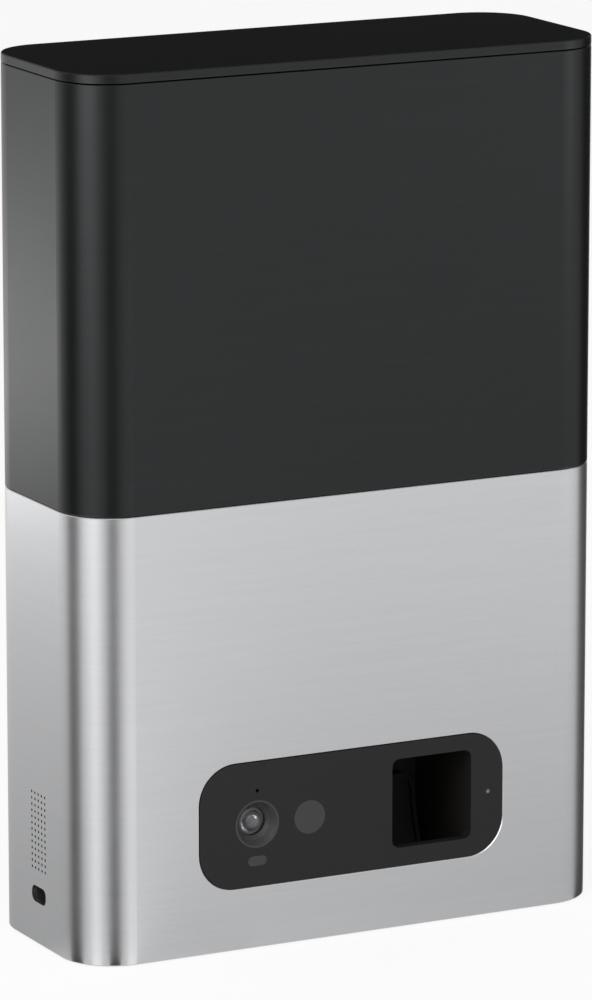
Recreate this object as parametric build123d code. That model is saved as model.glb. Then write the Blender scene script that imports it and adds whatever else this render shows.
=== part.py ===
"""A treat tossing pet camera, piece by piece, in millimetres.

It stands on z = 0 with its front towards -Y and its width along X.
The upper half holds the treats. The lower half holds the dosing wheel, the thrower,
the camera and the electronics. Every piece is written to parts/ as its own file.
"""

import os
from math import acos, ceil, cos, pi, radians, sin, sqrt, tan

from build123d import *

# Overall size
height = 270.0
width = 178.0
depth = 68.0
corner_radius = 17.0

# Outer sleeves and lid
shell_wall = 1.6
shell_lift = 0.4
seam_height = 138.0
seam_gap = 0.2
lid_thickness = 2.6
lid_gap = 0.35
edge_break = 0.3

# Clearances
seat_gap = 0.15
slip_gap = 0.05
press_gap = 0.02
soft_gap = 0.3
moving_gap = 1.0

# Base, chassis and collar
pad_thickness = 1.2
pad_inset = 3.0
base_thickness = 3.6
deck_rise = 3.0
deck_thickness = 4.0
ring_wall = 2.4
ring_reach = 10.0
column_radius = 5.0
column_inset = 8.7
collar_height = 16.0
collar_wall = 1.9
collar_ledge = 2.0

# Treat container
bin_gap = 5.4
bin_wall = 2.0
bin_radius = 12.0
bin_flange = 3.0
bin_flange_thickness = 2.0
bin_flange_drop = 6.4
funnel_height = 53.0
spout_rise = 7.0
funnel_floor = 1.6
spout_inner = 25.0
spout_corner = 3.0
bin_post_radius = 4.0

# Front panel
panel_x = 1.0
panel_z = 39.0
panel_width = 104.0
panel_height = 39.0
panel_corner = 12.0
panel_recess = 0.1
panel_flange = 3.0
panel_flange_thickness = 2.0

# Treat opening and chute
treat_x = 28.3
treat_z = 39.4
opening_width = 27.4
opening_height = 28.1
opening_corner = 2.5
chute_ease = 0.6
chute_wall = 1.8
ramp_slope = 0.62
drop_front = -21.0
drop_back = 1.0
ear_thickness = 2.0

# Thrower
pivot_y = -6.0
arm_swing = 55.0
arm_floor_gap = 0.8
arm_side_gap = 2.1
arm_back_gap = 0.3
arm_ramp_gap = 1.2
arm_top = 38.7
arm_front_top_y = -0.2
arm_curve = 53.4
arm_plate = 1.6
arm_rim = 1.5
arm_rim_wall = 1.3
arm_tip_corner = 5.5
arm_hub_radius = 4.0
arm_shaft_radius = 2.0
bush_wall = 1.4
bush_flange = 0.8
bush_boss = 1.5
sector_teeth = 36
sector_pinion_teeth = 14
sector_module = 1.0
sector_width = 4.0
sector_gap = 0.8
mesh_direction = 76.0
sector_first = -7
sector_count = 9
launch_motor_radius = 12.0
launch_can_radius = 10.5
launch_end_gap = 2.0
motor_tabs = 3.0
launch_gearbox_length = 8.0
motor_plate = 1.6
motor_shaft_radius = 1.5

# Dosing wheel
wheel_radius = 19.0
wheel_gap = 0.4
wheel_end_gap = 0.3
wheel_vanes = 6
vane_thickness = 2.0
wheel_hub_radius = 6.0
dosing_shaft_radius = 2.5
dosing_half_depth = 15.0
dosing_wall = 2.0
dosing_side_wall = 3.6
dosing_corner = 5.0
dosing_screw_inset = 3.5
dosing_pinion_teeth = 18
dosing_module = 1.0
dosing_gear_width = 4.0
dosing_motor_width = 12.0
dosing_motor_height = 10.0
dosing_gearbox_length = 9.0
dosing_can_length = 15.0
tube_wall = 1.6

# Gear teeth
pressure_angle = radians(20)
addendum = 0.8
dedendum = 1.1
backlash = 0.24

# Camera and sensors behind the front panel
lens_x = -31.5
lens_ring_radius = 7.4
lens_ring_depth = 3.6
lens_mouth_radius = 4.4
dome_radius = 3.6
dome_depth = 2.0
dome_base_depth = 4.6
dome_flange_radius = 4.2
barrel_radius = 5.2
round_window_x = -13.7
round_window_radius = 5.25
slot_window_z = 27.5
slot_window_width = 6.4
slot_window_height = 3.1
microphone_z = 49.4
microphone_hole = 0.6
status_offset = 5.9
status_z = 39.5
status_radius = 0.7
camera_board_overhang_x = 11.5
camera_board_overhang_right = 6.7
camera_board_height = 27.0
camera_board_setback = 7.8
board_thickness = 1.2

# Speaker and power inlet in the left side
speaker_y = -1.1
speaker_z = 35.75
speaker_columns = 5
speaker_rows = 13
speaker_pitch_y = 2.3
speaker_pitch_z = 1.95
speaker_hole = 0.45
speaker_width = 16.0
speaker_height = 30.0
speaker_corner = 4.0
speaker_thickness = 3.0
magnet_width = 10.0
magnet_height = 18.0
magnet_depth = 4.0
inlet_y = -1.0
inlet_z = 15.9
inlet_width = 9.8
inlet_height = 5.1
inlet_corner = 2.2
inlet_depth = 4.6
socket_width = 9.0
socket_height = 3.3
socket_length = 7.4
socket_wall = 0.3

# Main board, its carrier and the setup button
carrier_inset = 17.0
carrier_width = 70.0
carrier_top = 95.0
carrier_setback = 4.4
carrier_thickness = 2.0
standoff_length = 2.4
main_board_thickness = 1.6
main_board_inset = 2.0
main_board_bottom = 18.0
main_board_top = 88.0
button_x = -60.0
button_z = 30.0
button_radius = 3.1
button_stem_radius = 2.0
button_travel = 0.5

# Wall hanger
hanger_spacing = 90.0
hanger_entry_z = 222.0
hanger_entry_radius = 4.2
hanger_slot_radius = 2.2
hanger_slot_rise = 8.0
hanger_thickness = 1.2
hanger_width = 124.0
hanger_height = 26.0

# Screws
screw_radius = 1.2
screw_head_radius = 2.2
screw_head_height = 1.2
base_screw_radius = 1.5
base_screw_head = 2.8
base_screw_length = 14.0

# Derived places
front = -depth / 2
back = depth / 2
left = -width / 2
right = width / 2
inner_front = front + shell_wall
inner_back = back - shell_wall
inner_left = left + shell_wall
inner_right = right - shell_wall
inner_width = width - 2 * shell_wall
inner_depth = depth - 2 * shell_wall
inner_radius = corner_radius - shell_wall
base_top = shell_lift + base_thickness
deck_underside = seam_height + deck_rise
lid_underside = height - lid_thickness
bin_flange_top = lid_underside - bin_flange_drop
upper_shell_top = lid_underside - lid_gap
column_x = inner_right - column_inset
column_y = inner_back - column_inset
bin_width = inner_width - 2 * bin_gap
bin_depth = inner_depth - 2 * bin_gap
spout_outer = spout_inner + 2 * bin_wall
deck_top = deck_underside + deck_thickness
funnel_bottom = deck_top + spout_rise
funnel_top = funnel_bottom + funnel_height
panel_face = front + panel_recess
panel_back = inner_front + panel_flange_thickness
chute_front = panel_back + seat_gap
chute_half = opening_width / 2 + chute_ease
chute_left = treat_x - chute_half
chute_right = treat_x + chute_half
chute_floor = treat_z - opening_height / 2 - chute_ease
chute_ceiling = treat_z + opening_height / 2 + chute_ease
chute_top = chute_ceiling + chute_wall
chute_bottom = base_top
chute_well_floor = chute_bottom + chute_wall
pivot_z = chute_well_floor + arm_floor_gap + arm_hub_radius
ramp_end = pivot_y - arm_hub_radius - arm_ramp_gap
arm_half = chute_half - arm_side_gap
arm_curve_y = arm_front_top_y - arm_curve
arm_back_y = arm_front_top_y + arm_rim + arm_plate
chute_inner_back = arm_back_y + arm_back_gap
chute_back = chute_inner_back + chute_wall
sector_pitch = sector_module * sector_teeth / 2
sector_pinion_pitch = sector_module * sector_pinion_teeth / 2
launch_axis_y = pivot_y + (sector_pitch + sector_pinion_pitch) * cos(radians(mesh_direction))
launch_axis_z = pivot_z + (sector_pitch + sector_pinion_pitch) * sin(radians(mesh_direction))
right_boss_end = chute_right + chute_wall + bush_boss
sector_left = right_boss_end + sector_gap
sector_right = sector_left + sector_width
launch_plate_left = sector_right + 2 * moving_gap
launch_plate_right = launch_plate_left + motor_plate
wheel_length = 2 * (dosing_half_depth - wheel_end_gap)
dosing_half_width = wheel_radius + wheel_gap + dosing_side_wall
dosing_screw_offset = dosing_half_width - dosing_screw_inset
dosing_z = deck_underside - dosing_half_width
dosing_axes_apart = dosing_half_width + dosing_motor_width / 2 + moving_gap
dosing_gear_teeth = ceil(2 * dosing_axes_apart / dosing_module) - dosing_pinion_teeth
dosing_gear_pitch = dosing_module * dosing_gear_teeth / 2
dosing_pinion_pitch = dosing_module * dosing_pinion_teeth / 2
dosing_motor_x = treat_x + dosing_gear_pitch + dosing_pinion_pitch
dosing_cover_back = dosing_half_depth + dosing_wall
dosing_gear_front = dosing_cover_back + moving_gap
dosing_gear_back = dosing_gear_front + dosing_gear_width
dosing_bottom = dosing_z - dosing_half_width
status_x = treat_x + opening_width / 2 + status_offset
camera_board_left = lens_x - camera_board_overhang_x
camera_board_right = round_window_x + camera_board_overhang_right
camera_board_bottom = panel_z - camera_board_height / 2
camera_board_top = panel_z + camera_board_height / 2
camera_board_front = panel_back + camera_board_setback
camera_board_back = camera_board_front + board_thickness
carrier_left = left + carrier_inset
carrier_right = carrier_left + carrier_width
carrier_back = inner_back - carrier_setback
carrier_front = carrier_back - carrier_thickness
main_board_back = carrier_front - standoff_length
main_board_front = main_board_back - main_board_thickness
speaker_front = inner_left + 1.4
speaker_web_left = speaker_front + speaker_thickness + seat_gap
hanger_front = inner_back - slip_gap - hanger_thickness


# Shared helpers ------------------------------------------------------------------------


def tall(sketch, bottom, top):
    """Raises a sketch of X and Y from one height to another."""
    return extrude(Plane.XY.offset(bottom) * sketch, top - bottom)


def deep(sketch, near, far):
    """Runs a sketch of X and Z from one depth to another, along Y."""
    return extrude(Plane.XZ.offset(-far) * sketch, far - near)


def across(sketch, start, end):
    """Runs a sketch of Y and Z from one side to another, along X."""
    return extrude(Plane.YZ.offset(start) * sketch, end - start)


def at(x, y, sketch):
    """Moves a sketch within its own plane."""
    return Pos(x, y) * sketch


def block(x_span, y_span, z_span):
    """A plain box between three pairs of coordinates."""
    size = [span[1] - span[0] for span in (x_span, y_span, z_span)]
    middle = [(span[0] + span[1]) / 2 for span in (x_span, y_span, z_span)]
    return Pos(*middle) * Box(*size)


def rounded(x_size, y_size, radius):
    """A rectangle with round corners."""
    return RectangleRounded(x_size, y_size, radius)


def ring_sketch(outer_x, outer_y, radius, wall):
    """A rounded rectangle with an even wall."""
    return rounded(outer_x, outer_y, radius) - rounded(
        outer_x - 2 * wall, outer_y - 2 * wall, radius - wall
    )


def group(solids):
    """Keeps separate solids together as one piece of the list."""
    return Compound(children=list(solids))


def write(name, shape):
    """Writes one piece to its file."""
    shape.label = name
    export_step(shape, f"parts/{name}.step")


def screw(head_radius, head_height, shank_radius, shank_length):
    """A screw whose head sits above the origin and whose shank points down."""
    head = Pos(0, 0, head_height / 2) * Cylinder(head_radius, head_height)
    shank = Pos(0, 0, -shank_length / 2) * Cylinder(shank_radius, shank_length)
    socket = Pos(0, 0, head_height) * Box(head_radius, head_radius / 3, head_height)
    return head + shank - socket


def small_screw(length):
    """One of the small screws used inside."""
    return screw(screw_head_radius, screw_head_height, screw_radius, length)


def involute(angle):
    return tan(angle) - angle


def tooth_points(teeth, module, centre):
    """The corners of one gear tooth whose middle points at an angle."""
    pitch = module * teeth / 2
    base = pitch * cos(pressure_angle)
    root = pitch - dedendum * module
    tip = pitch + addendum * module
    half_at_pitch = pi / 2 / teeth - backlash / 2 / pitch
    radii = [root, pitch, (pitch + tip) / 2, tip] if root > base else [root, base, pitch, tip]
    flank = []
    for radius in radii:
        pressure = acos(min(1.0, base / radius))
        half = half_at_pitch + involute(pressure_angle) - involute(pressure)
        flank.append((radius, half))
    lower = [(r * cos(centre - h), r * sin(centre - h)) for r, h in flank]
    upper = [(r * cos(centre + h), r * sin(centre + h)) for r, h in reversed(flank)]
    return lower + upper


def gear_sketch(teeth, module, tooth_angle):
    """A whole gear with a tooth whose middle points at an angle in degrees."""
    points = []
    for index in range(teeth):
        points += tooth_points(teeth, module, radians(tooth_angle) + 2 * pi * index / teeth)
    return make_face(Polyline(*points, close=True))


def sector_sketch(teeth, module, tooth_angle, first, count):
    """A run of teeth on a wedge that comes to a point at the centre."""
    points = [(0.0, 0.0)]
    for index in range(first, first + count):
        points += tooth_points(teeth, module, radians(tooth_angle) + 2 * pi * index / teeth)
    return make_face(Polyline(*points, close=True))


def keyhole_sketch(x, z):
    """A wall hanging hole: a round entry with a narrower slot rising out of it."""
    entry = at(x, z, Circle(hanger_entry_radius))
    slot = at(x, z + hanger_slot_rise / 2, Rectangle(2 * hanger_slot_radius, hanger_slot_rise))
    end = at(x, z + hanger_slot_rise, Circle(hanger_slot_radius))
    return entry + slot + end


def hanger_holes():
    half = hanger_spacing / 2
    return keyhole_sketch(-half, hanger_entry_z) + keyhole_sketch(half, hanger_entry_z)


# Outer sleeves, lid and base -----------------------------------------------------------


def sleeve(bottom, top):
    """One tall rounded tube of the outer body."""
    tube = tall(ring_sketch(width, depth, corner_radius, shell_wall), bottom, top)
    rims = tube.faces().filter_by(Axis.Z)
    outer_edges = [face.outer_wire().edges() for face in rims]
    return chamfer([edge for edges in outer_edges for edge in edges], edge_break)


def speaker_holes():
    """The grid of sound holes, drawn in Y and Z."""
    spots = GridLocations(speaker_pitch_y, speaker_pitch_z, speaker_columns, speaker_rows)
    return Pos(speaker_y, speaker_z) * Sketch(children=[spot * Circle(speaker_hole) for spot in spots])


def lower_shell():
    shell = sleeve(shell_lift, seam_height - seam_gap / 2)
    panel_hole = at(panel_x, panel_z, rounded(panel_width, panel_height, panel_corner))
    cut = deep(panel_hole, front - 1, inner_front + 1)
    rim = loft(
        [
            Plane.XZ.offset(-front) * at(
                panel_x, panel_z,
                rounded(panel_width + 2 * edge_break, panel_height + 2 * edge_break, panel_corner + edge_break),
            ),
            Plane.XZ.offset(-front - edge_break) * panel_hole,
        ]
    )
    inlet = across(at(inlet_y, inlet_z, rounded(inlet_width, inlet_height, inlet_corner)), left - 1, inner_left + 1)
    sound = across(speaker_holes(), left - 1, inner_left + 1)
    button = deep(at(button_x, button_z, Circle(button_radius + slip_gap * 2)), inner_back - 1, back + 1)
    return shell - cut - rim - inlet - sound - button


def upper_shell():
    shell = sleeve(seam_height + seam_gap / 2, upper_shell_top)
    return shell - deep(hanger_holes(), inner_back - 1, back + 1)


def lid_plate():
    plate = tall(rounded(width, depth, corner_radius), lid_underside, height)
    top_edges = plate.faces().sort_by(Axis.Z)[-1].outer_wire().edges()
    plate = chamfer(top_edges, edge_break)
    for spot in GridLocations(2 * lid_screw_x, 2 * lid_screw_y, 2, 2):
        plate -= spot * Pos(0, 0, lid_underside) * Cylinder(screw_radius + press_gap, 2 * (lid_screw_bite + press_gap))
    return plate


plug_outer_x = bin_width + 2.0
plug_outer_y = bin_depth + 2.0
plug_pocket_depth = 3.6
plug_wall = 3.0
plug_bottom = bin_flange_top + 0.1
lid_screw_x = bin_width / 2 - 14.0
lid_screw_y = bin_depth / 2 - 9.0
lid_screw_bite = 1.2


def lid_plug():
    """The plate under the lid that drops into the mouth of the container."""
    body = tall(rounded(plug_outer_x, plug_outer_y, bin_radius + 1), plug_bottom, lid_underside)
    pocket = rounded(plug_outer_x - 2 * plug_wall, plug_outer_y - 2 * plug_wall, bin_radius - 2)
    body -= tall(pocket, plug_bottom - 1, plug_bottom + plug_pocket_depth)
    groove_x = plug_outer_x - 2 * seal_bite
    groove_y = plug_outer_y - 2 * seal_bite
    groove = rounded(plug_outer_x + 2, plug_outer_y + 2, bin_radius + 2) - rounded(
        groove_x, groove_y, bin_radius
    )
    body -= tall(groove, seal_bottom, seal_bottom + seal_height + 2 * slip_gap)
    for spot in GridLocations(2 * lid_screw_x, 2 * lid_screw_y, 2, 2):
        body -= spot * Pos(0, 0, lid_underside) * Cylinder(screw_radius + slip_gap, 20)
    return body


seal_bite = 1.2
seal_bottom = plug_bottom + 1.4
seal_height = 2.4


def lid_seal():
    """A silicone band round the plug, a little short of the collar."""
    outer_x = inner_width - 2 * (seat_gap + collar_wall + soft_gap)
    outer_y = inner_depth - 2 * (seat_gap + collar_wall + soft_gap)
    groove_x = plug_outer_x - 2 * seal_bite + 2 * slip_gap
    groove_y = plug_outer_y - 2 * seal_bite + 2 * slip_gap
    band = rounded(outer_x, outer_y, inner_radius - collar_wall - soft_gap) - rounded(
        groove_x, groove_y, bin_radius + slip_gap
    )
    return tall(band, seal_bottom + slip_gap, seal_bottom + seal_height)


def lid_screws():
    top_of_pocket = plug_bottom + plug_pocket_depth
    length = lid_underside - top_of_pocket + lid_screw_bite
    one = Pos(0, 0, top_of_pocket) * Rot(180, 0, 0) * small_screw(length)
    return group(spot * one for spot in GridLocations(2 * lid_screw_x, 2 * lid_screw_y, 2, 2))


def base_pad():
    """The soft foot under the whole base."""
    inset = 2 * (pad_inset + slip_gap)
    return tall(rounded(inner_width - inset, inner_depth - inset, inner_radius - pad_inset), 0, pad_thickness)


def column_spots():
    return GridLocations(2 * column_x, 2 * column_y, 2, 2)


chute_foot_radius = 3.6
chute_feet = [
    (chute_left - chute_wall - chute_foot_radius, chute_back - chute_foot_radius),
    (treat_x - 8.5, chute_back + chute_foot_radius),
    (treat_x + 8.5, chute_back + chute_foot_radius),
]
chute_screw_length = 4.2
power_board_back_x = left + 19.0
power_board_feet = [(power_board_back_x, inlet_y - 5), (power_board_back_x, inlet_y + 5)]
power_board_bottom = inlet_z - socket_height / 2 - board_thickness
carrier_feet = [(carrier_left + 10, carrier_front - 4), (carrier_right - 10, carrier_front - 4)]
foot_radius = 3.2


def base_plate():
    """The moulded floor: it plugs the lower sleeve and carries the works."""
    gap = 2 * seat_gap
    plate = tall(rounded(inner_width - gap, inner_depth - gap, inner_radius - seat_gap), shell_lift, base_top)
    inset = 2 * pad_inset
    pocket = rounded(inner_width - inset, inner_depth - inset, inner_radius - pad_inset)
    plate -= tall(pocket, shell_lift - 1, pad_thickness + slip_gap)
    for x, y in chute_feet:
        plate -= tall(at(x, y, Circle(screw_radius + press_gap)), base_top - 2.3, base_top + 1)
    for x, y in power_board_feet:
        plate += tall(at(x, y, Circle(foot_radius)), base_top, power_board_bottom)
        plate -= tall(at(x, y, Circle(screw_radius + press_gap)), power_board_bottom - 6, power_board_bottom + 1)
    for spot in column_spots():
        plate -= spot * Pos(0, 0, shell_lift) * Cylinder(base_screw_radius + slip_gap, 20)
        plate -= spot * Pos(0, 0, pad_thickness) * Cylinder(base_screw_head + seat_gap, 2 * screw_head_height)
    for x, y in carrier_feet:
        plate -= tall(at(x, y, Circle(screw_radius + press_gap)), base_top - 2.2, base_top + 1)
    return plate


def frame_screws():
    """The four screws up into the columns, and the four that hold the container to the deck."""
    seat = pad_thickness + screw_head_height
    tall_one = Pos(0, 0, seat) * Rot(180, 0, 0) * screw(
        base_screw_head, screw_head_height - 2 * slip_gap, base_screw_radius, base_screw_length
    )
    bin_one = Pos(0, 0, deck_underside) * Rot(180, 0, 0) * small_screw(deck_thickness + 7)
    screws = [spot * tall_one for spot in column_spots()]
    return group(screws + [Pos(x, y, 0) * bin_one for x, y in bin_posts])


# Chassis, collar and hanger ------------------------------------------------------------


deck_hole_gap = 0.4
web_thickness = 2.0
web_bottom = 20.0
web_top = 52.0
right_web_bottom = 66.0
right_web_top = 110.0


def side_web(x_span, z_span):
    """A wall that joins the two columns on one side."""
    return block(x_span, (-column_y, column_y), z_span)


def chassis():
    """The moulded frame: a deck, a band inside both sleeves, four columns and two webs."""
    gap = 2 * seat_gap
    outer = rounded(inner_width - gap, inner_depth - gap, inner_radius - seat_gap)
    band = tall(outer, seam_height - ring_reach, seam_height + ring_reach)
    hollow = rounded(
        inner_width - gap - 2 * ring_wall, inner_depth - gap - 2 * ring_wall, inner_radius - seat_gap - ring_wall
    )
    frame = band - tall(hollow, seam_height - ring_reach - 1, seam_height + ring_reach + 1)
    frame += tall(outer, deck_underside, deck_top)
    for spot in column_spots():
        frame += spot * Pos(0, 0, (base_top + deck_underside) / 2) * Cylinder(
            column_radius, deck_underside - base_top
        )
    frame += side_web((speaker_web_left, speaker_web_left + web_thickness), (web_bottom, web_top))
    frame += side_web((column_x - web_thickness / 2, column_x + web_thickness / 2), (right_web_bottom, right_web_top))
    hole = at(treat_x, 0, rounded(spout_outer + 2 * deck_hole_gap, spout_outer + 2 * deck_hole_gap, spout_corner + 1))
    frame -= tall(hole, deck_underside - 1, deck_top + 1)
    magnet_hole = rounded(magnet_width + 1, magnet_height + 1, 1.5)
    frame -= across(at(speaker_y, speaker_z, magnet_hole), speaker_web_left - 1, speaker_web_left + web_thickness + 1)
    for spot in column_spots():
        frame -= spot * Pos(0, 0, base_top) * Cylinder(base_screw_radius + press_gap, 2 * base_screw_length)
    for x, y in dosing_ears:
        frame -= tall(at(x, y, Circle(screw_radius + press_gap)), deck_underside - 1, deck_underside + 3)
    for x, y in bin_posts:
        frame -= tall(at(x, y, Circle(screw_radius + slip_gap)), deck_underside - 1, deck_top + 1)
    return frame


def top_collar():
    """The ring in the mouth of the upper sleeve: the container hangs on its ledge."""
    outer_x = inner_width - 2 * seat_gap
    outer_y = inner_depth - 2 * seat_gap
    outer_r = inner_radius - seat_gap
    ledge_top = bin_flange_top - bin_flange_thickness
    bottom = lid_underside - lid_gap - collar_height
    ring = tall(ring_sketch(outer_x, outer_y, outer_r, collar_wall), bottom, upper_shell_top - 0.4)
    ledge_hole = rounded(bin_width + 2 * seat_gap + 1, bin_depth + 2 * seat_gap + 1, bin_radius + 0.6)
    ledge = tall(rounded(outer_x, outer_y, outer_r) - ledge_hole, ledge_top - collar_ledge, ledge_top)
    return ring + ledge


def hanger_plate():
    """A steel plate behind the rear wall that takes the weight on the wall."""
    plate = rounded(hanger_width, hanger_height, 3)
    middle = hanger_entry_z + hanger_slot_rise / 2
    return deep(at(0, middle, plate) - hanger_holes(), hanger_front, hanger_front + hanger_thickness)


# Treat container -----------------------------------------------------------------------


bin_post_y = inner_depth / 2 - 16.4
bin_posts = [(x, y) for x in (left + 31.0, right - 23.0) for y in (-bin_post_y, bin_post_y)]


def container_inside():
    """The space that the treats fill, from the mouth down to the spout."""
    upper = rounded(bin_width - 2 * bin_wall, bin_depth - 2 * bin_wall, bin_radius - bin_wall)
    mouth = tall(upper, funnel_top + funnel_floor, bin_flange_top + 1)
    lower = at(treat_x, 0, rounded(spout_inner, spout_inner, spout_corner))
    slope = loft(
        [
            Plane.XY.offset(funnel_bottom + funnel_floor) * lower,
            Plane.XY.offset(funnel_top + funnel_floor) * upper,
        ]
    )
    spout = tall(lower, deck_underside - 1, funnel_bottom + funnel_floor)
    return mouth + slope + spout


def treat_container():
    """The treat bin: straight walls above, four sloping walls down to a square spout."""
    upper = rounded(bin_width, bin_depth, bin_radius)
    lower = at(treat_x, 0, rounded(spout_outer, spout_outer, spout_corner + 1))
    body = tall(upper, funnel_top, bin_flange_top)
    body += loft([Plane.XY.offset(funnel_bottom) * lower, Plane.XY.offset(funnel_top) * upper])
    body += tall(lower, deck_underside + slip_gap, funnel_bottom)
    flange = rounded(bin_width + 2 * bin_flange, bin_depth + 2 * bin_flange, bin_radius + bin_flange - 1)
    body += tall(flange, bin_flange_top - bin_flange_thickness + slip_gap, bin_flange_top)
    for x, y in bin_posts:
        body += tall(at(x, y, Circle(bin_post_radius)), deck_top, funnel_top)
        body -= tall(at(x, y, Circle(screw_radius + press_gap)), deck_top - 1, deck_top + 9)
    return body - container_inside()


def spout_seal():
    """A soft ring round the spout, on the deck."""
    inner = spout_outer + 2 * slip_gap
    ring = rounded(inner + 6, inner + 6, spout_corner + 4) - rounded(inner, inner, spout_corner + 1)
    return tall(at(treat_x, 0, ring), deck_top, deck_top + 2.5)


# Dosing unit ---------------------------------------------------------------------------


dosing_ear_reach = 6.0
dosing_ears = [
    (treat_x + side * (dosing_half_width + dosing_ear_reach / 2), y) for side in (-1, 1) for y in (-9.0, 9.0)
]
inlet_half = spout_inner / 2
outlet_half = 12.0
dosing_bush_wall = 1.5
dosing_bush_length = 4.0


def dosing_spots():
    return GridLocations(2 * dosing_screw_offset, 2 * dosing_screw_offset, 2, 2)


def dosing_housing():
    """The block with a round chamber, a square inlet above and an outlet below."""
    side = 2 * dosing_half_width
    front_face = -dosing_half_depth - dosing_wall
    shell = deep(at(treat_x, dosing_z, rounded(side, side, dosing_corner)), front_face, dosing_half_depth)
    shell -= deep(at(treat_x, dosing_z, Circle(wheel_radius + wheel_gap)), -dosing_half_depth, dosing_half_depth + 1)
    inlet = at(treat_x, 0, rounded(2 * inlet_half, 2 * inlet_half, 2))
    shell -= tall(inlet, dosing_z, deck_underside + 1)
    outlet = at(treat_x, 0, rounded(2 * outlet_half, 2 * inlet_half, 2))
    shell -= tall(outlet, dosing_bottom - 1, dosing_z)
    for x, y in dosing_ears:
        inward = dosing_half_width + dosing_ear_reach
        side_of = 1 if x > treat_x else -1
        spans = sorted((treat_x + side_of * (dosing_half_width - 1), treat_x + side_of * inward))
        shell += block(spans, (y - 4, y + 4), (deck_underside - 3, deck_underside))
        shell -= tall(at(x, y, Circle(screw_radius + slip_gap)), deck_underside - 4, deck_underside + 1)
    boss = at(treat_x, dosing_z, Circle(dosing_shaft_radius + dosing_bush_wall + 2))
    shell += deep(boss, front_face - 2, front_face)
    bore = at(treat_x, dosing_z, Circle(dosing_shaft_radius + dosing_bush_wall + press_gap))
    shell -= deep(bore, front_face - 3, -dosing_half_depth + 1)
    for spot in dosing_spots():
        hole = Pos(treat_x, dosing_z) * spot * Circle(screw_radius + press_gap)
        shell -= deep(hole, dosing_half_depth - 8, dosing_half_depth + 1)
    for z in clamp_screw_heights:
        hole = at(0, z, Circle(screw_radius + press_gap))
        shell -= across(hole, treat_x + dosing_half_width - 6, treat_x + dosing_half_width + 1).moved(
            Pos(0, clamp_middle, 0)
        )
    return shell


def dosing_cover():
    side = 2 * dosing_half_width
    plate = at(treat_x, dosing_z, rounded(side, side, dosing_corner))
    bore = at(treat_x, dosing_z, Circle(dosing_shaft_radius + dosing_bush_wall + press_gap))
    cover = deep(plate, dosing_half_depth, dosing_cover_back)
    boss = at(treat_x, dosing_z, Circle(dosing_shaft_radius + dosing_bush_wall + 2))
    cover -= deep(bore, dosing_half_depth - 1, dosing_cover_back + 1)
    cover += deep(boss - bore, dosing_cover_back, dosing_cover_back + 0.5)
    for spot in dosing_spots():
        hole = Pos(treat_x, dosing_z) * spot * Circle(screw_radius + slip_gap)
        cover -= deep(hole, dosing_half_depth - 1, dosing_cover_back + 1)
    return cover


def dosing_screws():
    """The screws of the cover, of the four ears under the deck and of the motor clamp."""
    cover_one = Rot(-90, 0, 0) * small_screw(8)
    spots = [Pos(treat_x + dx, dosing_cover_back, dosing_z + dz)
             for dx in (-dosing_screw_offset, dosing_screw_offset)
             for dz in (-dosing_screw_offset, dosing_screw_offset)]
    screws = [spot * cover_one for spot in spots]
    ear_one = Pos(0, 0, deck_underside - 3) * Rot(180, 0, 0) * small_screw(5.5)
    screws += [Pos(x, y, 0) * ear_one for x, y in dosing_ears]
    clamp_one = Rot(0, 90, 0) * small_screw(6)
    head_x = treat_x + dosing_half_width + clamp_wall
    screws += [Pos(head_x, clamp_middle, z) * clamp_one for z in clamp_screw_heights]
    return group(screws)


def dosing_bushes():
    outer = dosing_shaft_radius + dosing_bush_wall
    ring = at(treat_x, dosing_z, Circle(outer) - Circle(dosing_shaft_radius + slip_gap))
    front_end = -dosing_half_depth - dosing_wall - 2
    first = deep(ring, front_end, -dosing_half_depth)
    second = deep(ring, dosing_half_depth, dosing_cover_back + 0.5)
    return group([first, second])


def dosing_wheel():
    """A star wheel: each gap between two vanes carries one portion of treats."""
    hub = Circle(wheel_hub_radius)
    vane = at(wheel_radius / 2, 0, Rectangle(wheel_radius, vane_thickness))
    star = hub
    for index in range(wheel_vanes):
        star += Rot(0, 0, 360 / wheel_vanes * index + 30) * vane
    star &= Circle(wheel_radius)
    star -= Circle(dosing_shaft_radius + press_gap)
    return deep(at(treat_x, dosing_z, star), -wheel_length / 2, wheel_length / 2)


def dosing_shaft():
    shaft = at(treat_x, dosing_z, Circle(dosing_shaft_radius))
    return deep(shaft, -dosing_half_depth - dosing_wall - 1.5, dosing_gear_back + 1)


def dosing_gear():
    teeth = gear_sketch(dosing_gear_teeth, dosing_module, 0)
    web_outer = dosing_gear_pitch - 3.6
    wheel = teeth - Circle(dosing_shaft_radius + press_gap)
    gear = deep(at(treat_x, dosing_z, wheel), dosing_gear_front, dosing_gear_back)
    dish = at(treat_x, dosing_z, Circle(web_outer) - Circle(dosing_shaft_radius + 3.5))
    return gear - deep(dish, dosing_gear_front + 1.8, dosing_gear_back + 1)


def dosing_pinion():
    half_step = 180 / dosing_pinion_teeth
    teeth = gear_sketch(dosing_pinion_teeth, dosing_module, 180 + half_step)
    pinion = teeth - Circle(motor_shaft_radius + press_gap)
    return deep(at(dosing_motor_x, dosing_z, pinion), dosing_gear_front - 0.2, dosing_gear_back + 0.2)


motor_boss_radius = 2.0


def dosing_motor_shaft():
    return deep(
        at(dosing_motor_x, dosing_z, Circle(motor_shaft_radius)),
        dosing_half_depth + motor_boss_radius / 2,
        dosing_gear_back + 0.2,
    )


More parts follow.
